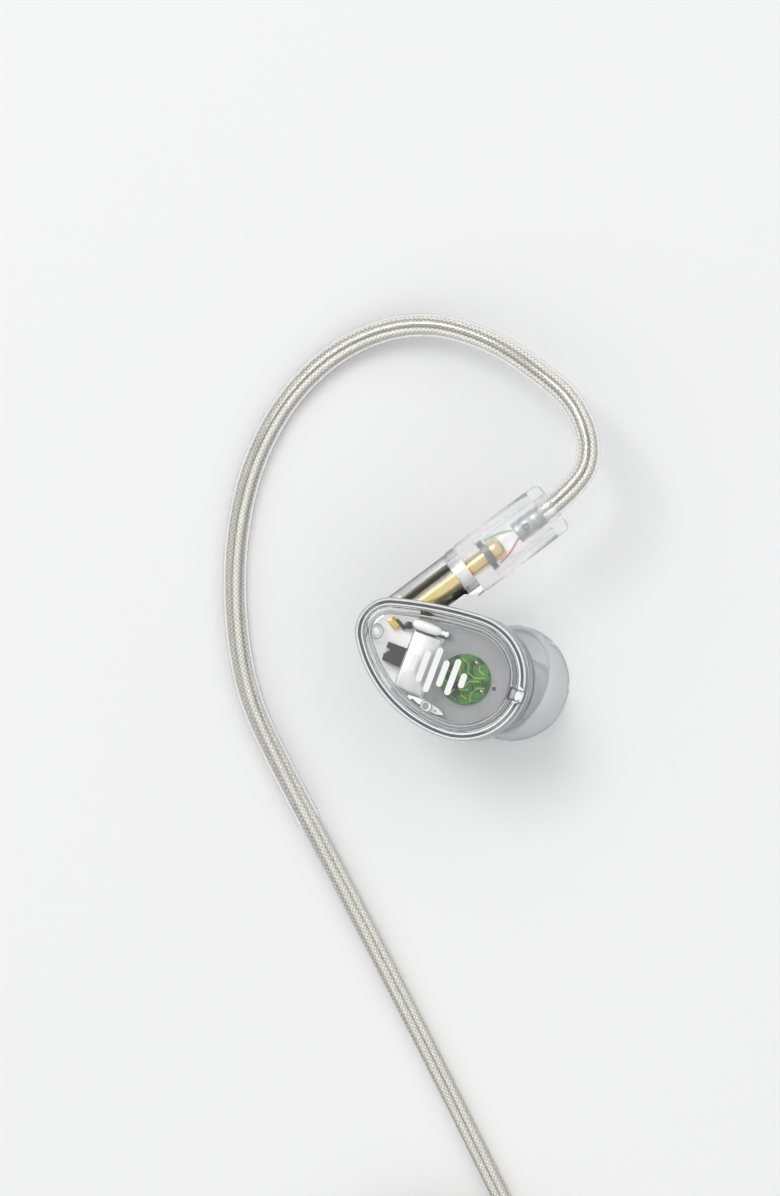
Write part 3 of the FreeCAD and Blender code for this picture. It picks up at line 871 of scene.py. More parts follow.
@dataclass
class Studio:
    """The pale table, the soft light and the camera."""

    table_mm: float = 6000.0
    lamp_at: tuple[float, float, float] = (-420.0, 560.0, 900.0)
    lamp_aim: tuple[float, float, float] = (0.0, 70.0, 0.0)
    lamp_size_mm: float = 450.0
    lamp_watts: float = 3.2
    glow: float = 0.85
    backdrop: str = "#F1F2F3"
    camera_height: float = 1500.0
    picture_height: float = 116.1
    picture_centre: tuple[float, float] = (-2.1, 84.1)
    focus_z: float = 16.0
    sensor: float = 36.0

    def build(self) -> None:
        """Makes all of it."""
        self.table()
        self.sky()
        self.lamps()
        self.camera()

    def table(self) -> None:
        """A plain pale table top."""
        half = self.table_mm / 2 * MM
        mesh = bpy.data.meshes.new("table_top")
        corners = [(-half, -half, 0), (half, -half, 0), (half, half, 0), (-half, half, 0)]
        mesh.from_pydata(corners, [], [(0, 1, 2, 3)])
        mesh.materials.append(TABLE.material())
        top = bpy.data.objects.new("table_top", mesh)
        bpy.context.scene.collection.objects.link(top)

    def sky(self) -> None:
        """Bright overhead and darker towards the horizon, which draws the edges of clear pieces."""
        world = bpy.data.worlds.new("studio")
        bpy.context.scene.world = world
        world.use_nodes = True
        tree = world.node_tree
        tree.nodes.clear()
        place = add(tree, "ShaderNodeTexCoord")
        height = add(tree, "ShaderNodeSeparateXYZ", {0: place.outputs["Generated"]}).outputs["Z"]
        tone = ramp(tree, height, [(0.0, "#8A8C8E"), (0.22, "#55585A"), (0.50, "#F0F1F2"), (0.75, "#FFFFFF")])
        glow = add(tree, "ShaderNodeBackground", {"Color": tone, "Strength": self.glow})
        seen = add(tree, "ShaderNodeBackground", {"Color": linear(self.backdrop), "Strength": 1.0})
        direct = add(tree, "ShaderNodeLightPath").outputs["Is Camera Ray"]
        mixed = add(tree, "ShaderNodeMixShader", {0: direct, 1: glow.outputs[0], 2: seen.outputs[0]})
        add(tree, "ShaderNodeOutputWorld", {"Surface": mixed.outputs[0]})

    def lamps(self) -> None:
        """One large soft box from the upper left, for a soft shadow to the lower right."""
        light = bpy.data.lights.new("soft_box", "AREA")
        light.shape = "DISK"
        light.size = self.lamp_size_mm * MM
        light.energy = self.lamp_watts
        lamp = bpy.data.objects.new("soft_box", light)
        lamp.location = Vector(self.lamp_at) * MM
        aim = Vector(self.lamp_aim) * MM - lamp.location
        lamp.rotation_euler = aim.to_track_quat("-Z", "Y").to_euler()
        bpy.context.scene.collection.objects.link(lamp)
        bpy.context.scene.view_settings.view_transform = "Standard"

    def camera(self) -> None:
        """A long lens that looks straight down at the right earpiece."""
        data = bpy.data.cameras.new("camera")
        data.sensor_width = self.sensor
        data.lens = self.sensor * (self.camera_height - self.focus_z) / self.picture_height
        data.clip_start, data.clip_end = 0.1, 20.0
        eye = bpy.data.objects.new("camera", data)
        eye.location = Vector((*self.picture_centre, self.camera_height)) * MM
        bpy.context.scene.collection.objects.link(eye)
        bpy.context.scene.camera = eye


# Cables


def coil_points(
    at: Vector,
    start_deg: float,
    swept_deg: float,
    knots: Sequence[tuple[float, float, float]],
    per_turn: int = 16,
) -> list[Vector]:
    """The control points of clockwise turns about an upright axis.

    Args:
        at: the coil's middle on the table.
        start_deg: the angle of the point just before the first.
        swept_deg: how far the turns go.
        knots: (angle swept, radius, height) in order; between two of them both change evenly.
        per_turn: points in a turn.

    Returns:
        The points. A spline through their polygon runs inside it, so they stand that much further out.
    """
    step = 360 / per_turn
    outward = 1 / (0.75 + 0.25 * math.cos(math.radians(step)))
    swept = [k[0] for k in knots]
    points = []
    for i in range(1, int(swept_deg / step) + 1):
        angle = math.radians(start_deg - i * step)
        radius = np.interp(i * step, swept, [k[1] for k in knots]) * outward
        height = np.interp(i * step, swept, [k[2] for k in knots])
        points.append(Vector((at.x + radius * math.cos(angle), at.y + radius * math.sin(angle), height)))
    return points


@dataclass
class Cable:
    """A clear-jacketed cable with silvered conductors side by side in it; length_m is in metres and is not
    used.
    """

    name: str
    diameter: float
    length_m: float
    lay_length: float = 320.0
    wall: float = 0.10
    strand_step: float = 0.55
    end_gap: float = 0.15
    path: list[Vector] = field(default_factory=list, init=False)
    conductors: list[bpy.types.Object] = field(default_factory=list, init=False)

    def build(self, points: Sequence[Vector], body: str, replaces: Sequence[str]) -> bpy.types.Object:
        """Makes the jacket along the points, and the conductors in it.

        Args:
            points: the route's control points.
            body: the body that it rides on.
            replaces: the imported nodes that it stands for.

        Returns:
            The jacket.
        """
        data = bpy.data.curves.new(self.name, "CURVE")
        data.dimensions = "3D"
        data.resolution_u = 6
        spline = data.splines.new("NURBS")
        spline.points.add(len(points) - 1)
        for made, point in zip(spline.points, points):
            made.co = (*(point * MM), 1.0)
        spline.order_u = 3
        spline.use_endpoint_u = True
        bare = bpy.data.objects.new(f"{self.name}_line", data)
        line = bpy.data.meshes.new_from_object(bare)
        self.path = [v.co / MM for v in line.vertices]
        bpy.data.meshes.remove(line)
        bpy.data.objects.remove(bare)
        data.bevel_depth = self.diameter / 2 * MM
        data.bevel_resolution = 5
        data.use_fill_caps = True
        data.materials.append(JACKET.material())
        piece = bpy.data.objects.new(self.name, data)
        bpy.context.scene.collection.objects.link(piece)
        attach(piece, body)
        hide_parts(*replaces)
        for ending, places, finish in (("conductors", (0, 1, 3), BRAID), ("return", (2,), TINNED_BRAID)):
            strands = self.conductor_shape(places)
            made = make(f"{self.name}_{ending}", strands, finish, body)
            self.conductors.append(made)
        return piece

    def conductor_shape(self, places: Sequence[int]) -> Shape:
        """Braided conductors that fill the jacket's bore, four side by side.

        Args:
            places: which of the four.

        Returns:
            Their shape.
        """
        along = self.along()
        at = np.linspace(self.end_gap, along[-1] - self.end_gap, int(along[-1] / self.strand_step))
        path = self.spaced(along, at)
        frames = carried_frames(path)
        shape = Shape()
        bore = self.diameter / 2 - self.wall
        radius = bore / (1 + math.sqrt(2))
        for n in places:
            strand = []
            for s, p, (u, v) in zip(at, path, frames):
                a = 2 * math.pi * (s / self.lay_length + n / 4 + 0.125)
                strand.append(p + (u * math.cos(a) + v * math.sin(a)) * (bore - radius))
            shape.tube(strand, radius * 0.98, 10)
        return shape

    def along(self) -> np.ndarray:
        """The distance of each of the path's points from its start."""
        runs = [(b - a).length for a, b in zip(self.path, self.path[1:])]
        return np.concatenate([[0], np.cumsum(runs)])

    def spaced(self, along: np.ndarray, at: np.ndarray) -> list[Vector]:
        """The path's points at even distances along it."""
        table = np.array([list(p) for p in self.path])
        columns = [np.interp(at, along, table[:, k]) for k in range(3)]
        return [Vector(row) for row in zip(*columns)]

    def stretch(self, start: float, end: Vector, within: float = 110.0, step: float = 0.8) -> list[Vector]:
        """A stretch of the path, in even steps.

        Args:
            start: how far along the path it starts.
            end: the place it ends nearest to.
            within: how far along the path the end is looked for.
            step: about how far apart its points are.

        Returns:
            Its points.
        """
        along = self.along()
        near = [i for i in range(len(self.path)) if along[i] < within]
        last = along[min(near, key=lambda i: (self.path[i] - end).length)]
        return self.spaced(along, np.linspace(start, last, int((last - start) / step)))


@dataclass
class Harness:
    """Both branches with their ear hooks, the main cable, the splitter, slider, ties and plug."""

    branch_d: float = 1.85
    main_d: float = 2.40
    hook_outer: float = 2.36
    hook_bore: float = 1.93
    cable_start: float = 7.0
    tail: float = 9.0
    branch_coil: tuple[float, float] = (2.7, 9.1)
    main_coil: tuple[float, float] = (3.6, -39.1)
    pair_dir: tuple[float, float] = (0.121, -0.9927)
    splitter_at: tuple[float, float] = (18.75, -14.0)
    pair_gap: float = 1.94
    pair_z: float = 1.7
    socket: float = 3.0
    splitter_length: float = 9.0
    branch_length_m: float = 0.35
    main_length_m: float = 0.80

    def hook_route(self) -> list[Vector]:
        """The formed stretch, in the ear frame."""
        return [
            Vector((11.48, 18.50, 11.4)),
            Vector((12.68, 22.30, 11.0)),
            Vector((11.03, 26.60, 9.9)),
            Vector((8.19, 29.20, 8.4)),
            Vector((2.93, 32.90, 5.6)),
            Vector((-3.87, 34.80, 3.2)),
            Vector((-10.87, 32.90, 1.8)),
            Vector((-16.67, 28.00, 1.25)),
            Vector((-20.47, 21.20, 1.2)),
            Vector((-22.17, 13.60, 1.2)),
            Vector((-22.27, 5.80, 1.2)),
            Vector((-21.07, -1.80, 1.2)),
            Vector((-18.00, -8.40, 1.2)),
        ]

    def hook_end(self) -> Vector:
        """Where the formed tube ends, in the ear frame."""
        return Vector((-14.86, -14.31, 1.2))

    def right_route(self) -> list[Vector]:
        """The right branch from its hook to its coil."""
        return [
            Vector((-6.3, 55.3, 1.2)),
            Vector((2.84, 37.52, 0.95)),
            Vector((9.46, 24.1, 0.98)),
            Vector((14.2, 15.0, 1.35)),
        ]

    def left_route(self) -> list[Vector]:
        """The left branch from its hook to its coil."""
        return [
            Vector((-8.2, -58.8, 1.1)),
            Vector((-17.0, -43.5, 0.95)),
            Vector((-16.2, -27.0, 0.95)),
            Vector((-12.0, -9.5, 0.95)),
            Vector((-8.9, 1.5, 1.0)),
            Vector((-8.3, 9.1, 1.35)),
        ]

    def main_route(self) -> list[Vector]:
        """The main cable from the splitter to its coil."""
        return [Vector((20.5, -30.5, 1.5)), Vector((20.4, -37.0, 1.6))]

    def main_rise(self) -> list[Vector]:
        """The main cable from its coil up to the plug that lies on it."""
        return [
            Vector((8.4, -25.3, 7.4)),
            Vector((13.6, -25.8, 9.2)),
            Vector((18.6, -27.4, 9.5)),
            Vector((21.7, -31.6, 9.9)),
            Vector((21.7, -36.9, 10.3)),
            Vector((18.6, -41.2, 10.6)),
            Vector((13.6, -42.8, 10.6)),
        ]

    def turns(self, side: Side) -> list[Vector]:
        """One branch's turns in the shared coil: the right one outside, the left one inside."""
        middle = Vector((*self.branch_coil, 0))
        if side is Side.RIGHT:
            climb = [(0, 12.9, 1.35), (170, 12.9, 2.95), (360, 12.9, 3.2)]
            climb += [(530, 12.9, 4.85), (720, 13.2, 5.2)]
            return coil_points(middle, 27.0, 690, climb)
        return coil_points(middle, 180.0, 850, [(0, 11.0, 1.35), (360, 11.0, 3.2), (850, 11.0, 5.7)])

    def leaves(self, side: Side) -> list[Vector]:
        """Where one branch leaves the coil and comes down towards the pair."""
        if side is Side.RIGHT:
            return [Vector((15.3, 15.4, 5.2)), Vector((17.3, 9.6, 4.9))]
        return [Vector((13.0, 14.6, 5.6)), Vector((15.3, 8.6, 5.3))]

    def pair_point(self, run: float, side: int) -> Vector:
        """A point of the straight pair.

        Args:
            run: its distance past the splitter's mouth.
            side: 1 or -1 for the right or left cable, 0 for midway.

        Returns:
            The point.
        """
        on = Vector((*self.pair_dir, 0))
        over = Vector((-on.y, on.x, 0))
        at = Vector((*self.splitter_at, 0)) + on * run + over * (side * self.pair_gap / 2)
        return Vector((at.x, at.y, self.pair_z))

    def build(self) -> None:
        """Makes every piece of the cable."""
        straps = self.straps()
        routes = {Side.RIGHT: self.right_route(), Side.LEFT: self.left_route()}
        start = PLUG_FACE + PLUG_DIR * self.cable_start
        for side in Side:
            points = [side.place(p) for p in [start, *self.hook_route()]]
            points += routes[side] + self.turns(side) + self.leaves(side)
            points += [self.pair_point(run, side.value) for run in (-16.0, -13.5, self.socket)]
            cable = Cable(f"branch_jacket_{side.tag}", self.branch_d, self.branch_length_m)
            jacket = cable.build(points, "cable_set", [f"branch_cable_{side.tag}", "branch_coil"])
            tuple(side.place(PLUG_FACE + PLUG_DIR * self.tail) * MM)
            line = cable.stretch(self.tail - self.cable_start, side.place(self.hook_end()))
            make(
                f"hook_tube_{side.tag}",
                Shape().pipe(line, self.hook_outer / 2, self.hook_bore / 2),
                HOOK_TUBE,
                "cable_set",
                replaces=[f"ear_hook_{side.tag}"],
                sharp_deg=60,
            )
        plug = HeadphonePlug().build()
        self.main_cable(plug, straps[1])
        for node in ("cable_splitter", "chin_slider"):
            dress(node, FROSTED)

    def main_cable(self, plug: list[bpy.types.Object], strap: bpy.types.Object) -> None:
        """The main cable: out of the splitter, round its coil layer by layer, and up to the plug.

        Args:
            plug: the plug's pieces; not used.
            strap: the coil's tie; not used.
        """
        points = [self.pair_point(self.splitter_length + run, 0) for run in (-self.socket, 3.5)]
        points += self.main_route()
        columns, layers, turns = (16.9, 14.5, 12.1), (1.6, 4.0, 6.4), 8
        passes = [(c, z) for n, z in enumerate(layers) for c in (columns[::-1] if n % 2 else columns)]
        knots = []
        for n, (radius, height) in enumerate(passes[:turns]):
            knots += [(360 * n, radius, height), (360 * n + 300, radius, height)]
        points += coil_points(Vector((*self.main_coil, 0)), 7.0, 360 * turns - 64, knots)
        points += self.main_rise() + [HeadphonePlug().point(3.0)]
        cable = Cable("main_jacket", self.main_d, self.main_length_m)
        jacket = cable.build(points, "cable_set", ["main_cable", "main_coil"])

    def straps(self) -> list[bpy.types.Object]:
        """The two ties, each a strap closed round its coil with its tail laid over.

        Returns:
            The branch coil's tie and the main coil's.
        """
        gap, thick, bend, low = 0.12, 0.36, 1.1, 0.02
        made = []
        for name, at, radius, width, height, angle in (
            ("branch_strap", self.branch_coil, 11.95, 3.8, 5.7, 250.0),
            ("main_strap", self.main_coil, 14.5, 7.2, 7.2, 165.0),
        ):
            turn = Matrix.Translation((*at, 0)) @ Matrix.Rotation(math.radians(angle), 4, "Z")
            high = height + 0.78
            rings = []
            for grow, way in ((0.0, 1), (thick, -1)):
                half, corner = width / 2 + gap + grow, bend + grow
                base, top = low + thick - grow, high - thick + grow
                loop = []
                for cx, cz, first in ((1, 1, 0), (-1, 1, 90), (-1, -1, 180), (1, -1, 270)):
                    z = (top if cz > 0 else base) - cz * corner
                    middle = Vector((radius + cx * (half - corner), 0, z))
                    for k in range(7):
                        a = math.radians(first + 15 * k)
                        loop.append(middle + Vector((math.cos(a), 0, math.sin(a))) * corner)
                for y in (-1.5 * way, 1.5 * way):
                    rings.append([turn @ (p + Vector((0, y, 0))) for p in loop])
            shape = Shape().rings(rings, loop=True)
            pad = turn @ Vector((radius, 0, high + 0.12))
            shape.block(pad, Vector((width * 0.7, 2.9, 0.3)), angle, 0.1)
            made.append(make(name, shape, STRAP, "cable_set", None, ["cable_ties"], 50))
        return made


@dataclass
class HeadphonePlug:
    """The 3.5 mm plug: ribbed relief, grip and three gold contacts parted by black rings."""

    at: tuple[float, float, float] = (11.5, -42.8, 10.6)
    way: tuple[float, float, float] = (-1.0, 0.0, 0.0)
    relief: float = 5.0
    grip: float = 10.0
    grip_r: float = 3.0
    contact_r: float = 1.75
    cable_r: float = 1.2

    def point(self, s: float) -> Vector:
        """A point on the plug's axis."""
        return Vector(self.at) + Vector(self.way) * s

    def build(self) -> list[bpy.types.Object]:
        """Makes the plug's pieces.

        Returns:
            The pieces, for the cable that they end.
        """
        at, way, body = self.point(0), Vector(self.way), self.relief + self.grip
        outline = [(0.0, self.cable_r + 0.02), (0.0, 1.75)]
        rib = ((0.0, 1.80), (0.65, 1.88), (0.72, 1.58), (1.08, 1.58))
        for n in range(4):
            outline += [(0.35 + n * 1.15 + s, r + 0.13 * n) for s, r in rib]
        outline += [(self.relief, 2.3), (self.relief, 2.75), (self.relief + 0.25, 2.95)]
        groove = ((0.0, 2.98), (0.12, 2.80), (0.42, 2.80), (0.54, 2.98))
        for n in range(6):
            outline += [(self.relief + 1.6 + n * 0.8 + s, r) for s, r in groove]
        outline += [(body - 1.6, self.grip_r), (body - 0.7, 2.96), (body - 0.25, 2.8), (body, 2.45)]
        outline += [(body, 0.9), (body - 11.0, 0.9), (body - 11.0, self.cable_r + 0.02)]
        grip = Shape().lathe(at, way, outline, 72, True)
        housing = make("plug_grip", grip, GRIP, "cable_set", None, ["jack_housing"])
        metal, face, r, bore = Shape(), self.point(body), self.contact_r, 0.95
        sleeve = [(0.0, bore), (0.0, r), (6.2, r), (6.3, r - 0.06), (6.3, bore)]
        metal.lathe(face, way, sleeve, 64, True)
        metal.lathe(face, way, [(7.0, bore), (7.0, r), (9.3, r), (9.3, bore)], 64, True)
        tip = [(0.1, 0.9), (10.0, 0.9), (10.0, r), (10.9, r), (11.3, 1.5), (11.8, 1.17), (12.1, 1.2)]
        tip += [(12.5, 1.52), (12.8, 1.58), (13.2, 1.35), (13.85, 0.75), (14.0, 0.4)]
        metal.lathe(face, way, tip, 64)
        contacts = make("plug_contacts", metal, GOLD, "cable_set", None, ["jack_contacts"])
        dress("jack_insulators", BLACK)
        return [housing, contacts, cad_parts["jack_insulators"]]


# Earpieces


@dataclass(frozen=True)
class FaceOutline:
    """The earpiece's outline: two end arcs joined by two side arcs, in the ear frame."""

    big_r: float = 6.24
    small_at: tuple[float, float] = (-7.0, 4.28)
    small_r: float = 3.39
    lower_r: float = 12.8
    upper_r: float = 40.0

    def ring(self, inset: float, z: float, per_arc: int = 36) -> list[Vector]:
        """The outline's points, moved inwards by inset, at a height.

        Args:
            inset: how far inside the outline.
            z: the height.
            per_arc: points on each of the four arcs.

        Returns:
            The points, clockwise from above.
        """
        big, small = Vector((0, 0)), Vector(self.small_at)
        along = small - big
        u = along.normalized()
        arcs = []
        for sign, side_r in ((1, self.lower_r), (-1, self.upper_r)):
            n = Vector((-u.y, u.x)) * sign
            a, b = side_r - self.big_r, side_r - self.small_r
            x = (a * a - b * b + along.length_squared) / (2 * along.length)
            centre = big + u * x - n * math.sqrt(a * a - x * x)
            ends = [(p - centre).normalized() for p in (big, small)]
            arcs.append((centre, side_r, ends))
        lower, upper = arcs
        turns = [
            (lower[0], lower[1], lower[2][0], lower[2][1]),
            (small, self.small_r, lower[2][1], upper[2][1]),
            (upper[0], upper[1], upper[2][1], upper[2][0]),
            (big, self.big_r, upper[2][0], lower[2][0]),
        ]
        points = []
        for centre, radius, first, last in turns:
            start = math.atan2(first.y, first.x)
            swept = -((start - math.atan2(last.y, last.x)) % (2 * math.pi))
            for k in range(per_arc):
                a = start + swept * k / per_arc
                p = centre + Vector((math.cos(a), math.sin(a))) * (radius - inset)
                points.append(Vector((p.x, p.y, z)))
        return points


@dataclass
class FaceCover:
    """The clear cover: a beaded rim, a sunk window, a latch tab and the white print."""

    window_drop: float = 0.50
    window_t: float = 0.80
    rim: float = 1.45
    tongue: float = 0.60
    latch_at: tuple[float, float] = (5.3, -1.85)
    print_at: tuple[float, float] = (-2.35, 0.45)

    def build(self, side: Side) -> None:
        """Makes the cover and what is on it."""
        body = f"cover_{side.tag}"
        cover = make(
            f"clear_cover_{side.tag}",
            self.cover(),
            CLEAR_CASE,
            body,
            side,
            [f"face_cover_{side.tag}"],
            sharp_deg=50,
        )
        pocket = Vector((*self.latch_at, FACE_TOP))
        self.carve(cover, Shape().block(pocket, Vector((1.56, 1.22, 1.0)), LEAN_DEG, 0.04), side)
        tab = Shape().block(pocket - Vector((0, 0, 0.27)), Vector((1.26, 0.92, 0.40)), LEAN_DEG, 0.12)
        shift = Matrix.Rotation(math.radians(LEAN_DEG), 3, "Z") @ Vector((0.16, 0, -0.05))
        tab.block(pocket + shift, Vector((0.62, 0.66, 0.10)), LEAN_DEG, 0.04)
        make(f"latch_tab_{side.tag}", tab, FROSTED, body, side)
        make(f"latch_gap_{side.tag}", self.latch_gap(pocket), PAINTED_SHADE, body, side)
        make(f"sound_bars_{side.tag}", self.bars(), WHITE_INK, body, side)
        make(f"rim_lines_{side.tag}", self.rim_lines(), PAINTED_SHADE, body, side)

    def cover(self) -> Shape:
        """The cover's section swept round the outline: window, rim beads, wall, seam and tongue."""
        low, top = SEAM + 0.27, FACE_TOP
        window, under = top - self.window_drop, top - self.window_drop - self.window_t
        outline = FaceOutline()
        section = [
            (2.6, window),
            (self.rim + 0.16, window),
            (self.rim + 0.06, window + 0.05),
            (self.rim, window + 0.16),
            (self.rim - 0.06, top - 0.10),
            (self.rim - 0.14, top - 0.02),
            (self.rim - 0.24, top),
            (self.rim - 0.42, top),
            (self.rim - 0.50, top - 0.05),
            (self.rim - 0.56, top - 0.14),
            (self.rim - 0.66, top - 0.14),
            (self.rim - 0.72, top - 0.05),
            (self.rim - 0.80, top),
            (0.48, top - 0.01),
            (0.30, top - 0.08),
            (0.15, top - 0.22),
            (0.05, top - 0.40),
            (0.0, top - 0.62),
            (0.0, low + 0.12),
            (0.04, low + 0.03),
            (0.12, low),
            (1.04, low),
            (1.04, SEAM - self.tongue),
            (1.45, SEAM - self.tongue),
            (1.45, low),
            (1.55, low + 0.05),
            (1.55, under - 0.10),
            (1.62, under),
            (2.6, under),
        ]
        return Shape().rings([outline.ring(inset, z) for inset, z in section])

    def rim_lines(self) -> Shape:
        """The shadow lines where cover and seal part, at the rim's outside and at its inside."""
        outline, z = FaceOutline(), SEAM + 0.25
        shape = Shape()
        low, high = z - 0.02, z + 0.008
        for near, width in ((0.14, 0.15), (0.56, 0.06), (0.86, 0.09)):
            far = near + width
            section = ((near, low), (near, high), (far, high), (far, low))
            shape.rings([outline.ring(inset, height) for inset, height in section], loop=True)
        return shape

    def latch_gap(self, pocket: Vector) -> Shape:
        """The shadow line at the foot of the pocket, a thin frame round the tab."""
        turn = Matrix.Rotation(math.radians(LEAN_DEG), 3, "Z")
        frames = []
        outer, inner, low, high = (0.76, 0.59), (0.68, 0.51), -0.49, -0.44
        for (half_x, half_y), z in ((outer, low), (outer, high), (inner, high), (inner, low)):
            corners = ((half_x, half_y), (-half_x, half_y), (-half_x, -half_y), (half_x, -half_y))
            frames.append([pocket + turn @ Vector((x, y, z)) for x, y in corners])
        return Shape().rings(frames, loop=True)

    def carve(self, piece: bpy.types.Object, cutter: Shape, side: Side) -> None:
        """Cuts a shape out of a piece."""
        mesh = bpy.data.meshes.new("cutter")
        mesh.from_pydata([side.place(p) * MM for p in cutter.points], [], cutter.faces)
        finish_mesh(mesh, 30)
        tool = bpy.data.objects.new("cutter", mesh)
        bpy.context.scene.collection.objects.link(tool)
        cut = piece.modifiers.new("pocket", "BOOLEAN")
        cut.operation = "DIFFERENCE"
        cut.solver = "EXACT"
        cut.object = tool
        bpy.context.view_layer.update()
        whole = piece.evaluated_get(bpy.context.evaluated_depsgraph_get())
        carved = bpy.data.meshes.new_from_object(whole)
        piece.modifiers.clear()
        piece.data = carved
        bpy.data.objects.remove(tool)

    def bars(self) -> Shape:
        """A generic print: six upright bars of different heights, as on a sound level display."""
        shape = Shape()
        z = FACE_TOP - self.window_drop
        half, pitch = 0.30, 1.02
        for n, height in enumerate((1.7, 3.2, 4.6, 2.7, 3.7, 1.5)):
            middle = Vector((*self.print_at, 0)) + LEAN_ON * (n - 2.5) * pitch
            outline = []
            for end in (1, -1):
                centre = middle + LEAN_UP * end * (height / 2 - half)
                for k in range(9):
                    a = math.radians(180 * k / 8) + (0 if end > 0 else math.pi)
                    outline.append(centre + LEAN_ON * math.cos(a) * half + LEAN_UP * math.sin(a) * half)
            shape.slab(outline, z + 0.002, z + 0.035)
        return shape


@dataclass
class Innards:
    """What shows through the window and the clear shell."""

    board_r: float = 2.47
    cradle_z: float = 13.36
    flatness: float = 0.5
    socket_depth: float = 8.6
    post_at: Vector = field(default_factory=lambda: Vector((-8.45, 4.4, 0.0)))
    screw_at: Vector = field(default_factory=lambda: Vector((-3.55, -2.95, 0.0)))

    def build(self, side: Side) -> None:
        """Makes the board, tubes, drivers, bracket and contacts of one earpiece."""
        body, tag = f"earpiece_{side.tag}", side.tag
        for name, shape, finish, slot, nodes in (
            ("board", self.board(), BOARD, "green_board", ["crossover_board"]),
            ("board_traces", self.traces(), TRACE, "green_board", []),
            ("board_joints", self.joints(), SOLDER, "solder_tin", ["board_parts"]),
            ("board_chips", self.chips(), BLACK, "black_plastic", []),
            ("sound_tube", self.upper_tube(), WHITE_ABS, "clear_tube", ["sound_tubes"]),
            ("damper", self.damper(), WHITE_ABS, "clear_tube", []),
            ("damper_screw", self.screw(), CRIMP, "spring_steel", []),
            ("inner_shadows", self.shadows(), PAINTED_SHADE, "", []),
            ("bracket", self.bracket(), BLACK, "black_plastic", ["driver_bracket"]),
            ("socket_tab", self.contact(), GOLD, "gold", ["jack_contact"]),
            ("socket_boot", self.boot(), BLACK, "black_plastic", []),
            ("vent", self.vent(), PAINTED_SHADE, "", []),
            ("diaphragm", self.diaphragm(), FILM, "diaphragm_film", ["driver_diaphragm"]),
            ("armature_seam", self.armature_seam(), NICKEL, "armature_nickel", []),
            ("cradle", self.cradle(), WHITE_ABS, "clear_tube", []),
            ("post_cap", self.post(), MILKY, "clear_shell", []),
            ("post_ring", self.post_ring(), PAINTED_SHADE, "", []),
            ("board_wire_1", self.wire(0), GREEN_WIRE, "wire_insulation", ["hookup_wires"]),
            ("board_wire_2", self.wire(1), RED_WIRE, "wire_insulation", ["hookup_wires"]),
        ):
            make(f"{name}_{tag}", shape, finish, body, side, [f"{node}_{tag}" for node in nodes])
        for node, finish in (
            ("inner_frame", GREY_PLATE),
            ("driver_basket", STEEL),
            ("driver_motor", STEEL),
            ("armature_driver", NICKEL),
            ("cover_seal", SEAL),
            ("jack_barrel", BARREL),
            ("jack_insert", ACETAL),
            ("nozzle_filter", MESH),
            ("rear_shell", CLEAR_CASE),
        ):
            dress(f"{node}_{tag}", finish)

    def board(self) -> Shape:
        """The round board with a turned edge."""
        z, r = PLATE_TOP, self.board_r
        return Shape().lathe(BOARD_AT, UP, [(z, r - 0.02), (z + 0.26, r), (z + 0.30, r - 0.04)], 72)

    def traces(self) -> Shape:
        """Copper traces under the resist, in straight runs and half turns."""
        shape = Shape()
        runs = [
            [(-1.9, 1.2), (-1.2, 0.5), (-1.2, -0.4), (-0.6, -1.0), (0.3, -1.0)],
            [(-1.6, -1.5), (-0.9, -0.8), (-0.2, -0.8), (0.4, -0.2), (1.3, -0.2)],
            [(-0.3, 2.1), (0.3, 1.5), (0.3, 0.7), (0.9, 0.1), (1.9, 0.1)],
            [(0.5, -2.2), (0.5, -1.5), (1.1, -0.9), (1.9, -0.9)],
            [(-2.1, 0.1), (-1.6, -0.4), (-1.6, -1.0)],
            [(0.9, 1.9), (1.4, 1.4), (1.4, 0.8), (1.9, 0.4)],
            [(-0.9, 1.9), (-0.5, 1.3), (-0.5, 0.4), (0.0, -0.1)],
            [(-0.4, -1.5), (0.1, -1.9)],
        ]
        for run in runs:
            path = [BOARD_AT + Vector((x, y, PLATE_TOP + 0.30)) for x, y in run]
            shape.tube(path, 0.07, 6)
        return shape

    def joints(self) -> Shape:
        """Solder domes with their wetted skirts."""
        shape = Shape()
        z = PLATE_TOP + 0.28
        for x, y, r in ((1.45, 1.29, 0.34), (1.90, -1.48, 0.30), (-0.64, -2.21, 0.25)):
            dome = ((0.0, 1.0), (0.06, 0.94), (0.16, 0.72), (0.23, 0.42), (0.25, 0.12))
            shape.lathe(Vector((x, y, 0)), UP, [(z + rise, r * part) for rise, part in dome], 28)
        return shape

    def chips(self) -> Shape:
        """Two surface-mounted parts."""
        shape = Shape()
        for x, y, turn in ((-0.95, 0.9, 30), (-0.75, -0.95, -20)):
            shape.block(Vector((x, y, PLATE_TOP + 0.44)), Vector((0.85, 0.45, 0.28)), turn, 0.05)
        return shape

    def upper_tube(self) -> Shape:
        """The sound tube above the armature: a capsule with a stepped spout."""
        z = PLATE_TOP + 0.66
        a, b = Vector((-4.75, 5.28, z)), Vector((-1.95, 4.22, z))
        path = [a.lerp(b, t) for t in (0, 0.03, 0.09, 0.2, 0.6, 0.85, 0.93, 1.0)]
        shape = Shape().tube(path, [0.18, 0.34, 0.46, 0.54, 0.54, 0.48, 0.36, 0.20], 20)
        on = (b - a).normalized()
        spout = [(-0.05, 0.16), (0.0, 0.26), (0.16, 0.28), (0.18, 0.20)]
        spout += [(0.34, 0.20), (0.36, 0.30), (0.66, 0.27), (0.72, 0.16)]
        return shape.lathe(b, on, spout, 20)

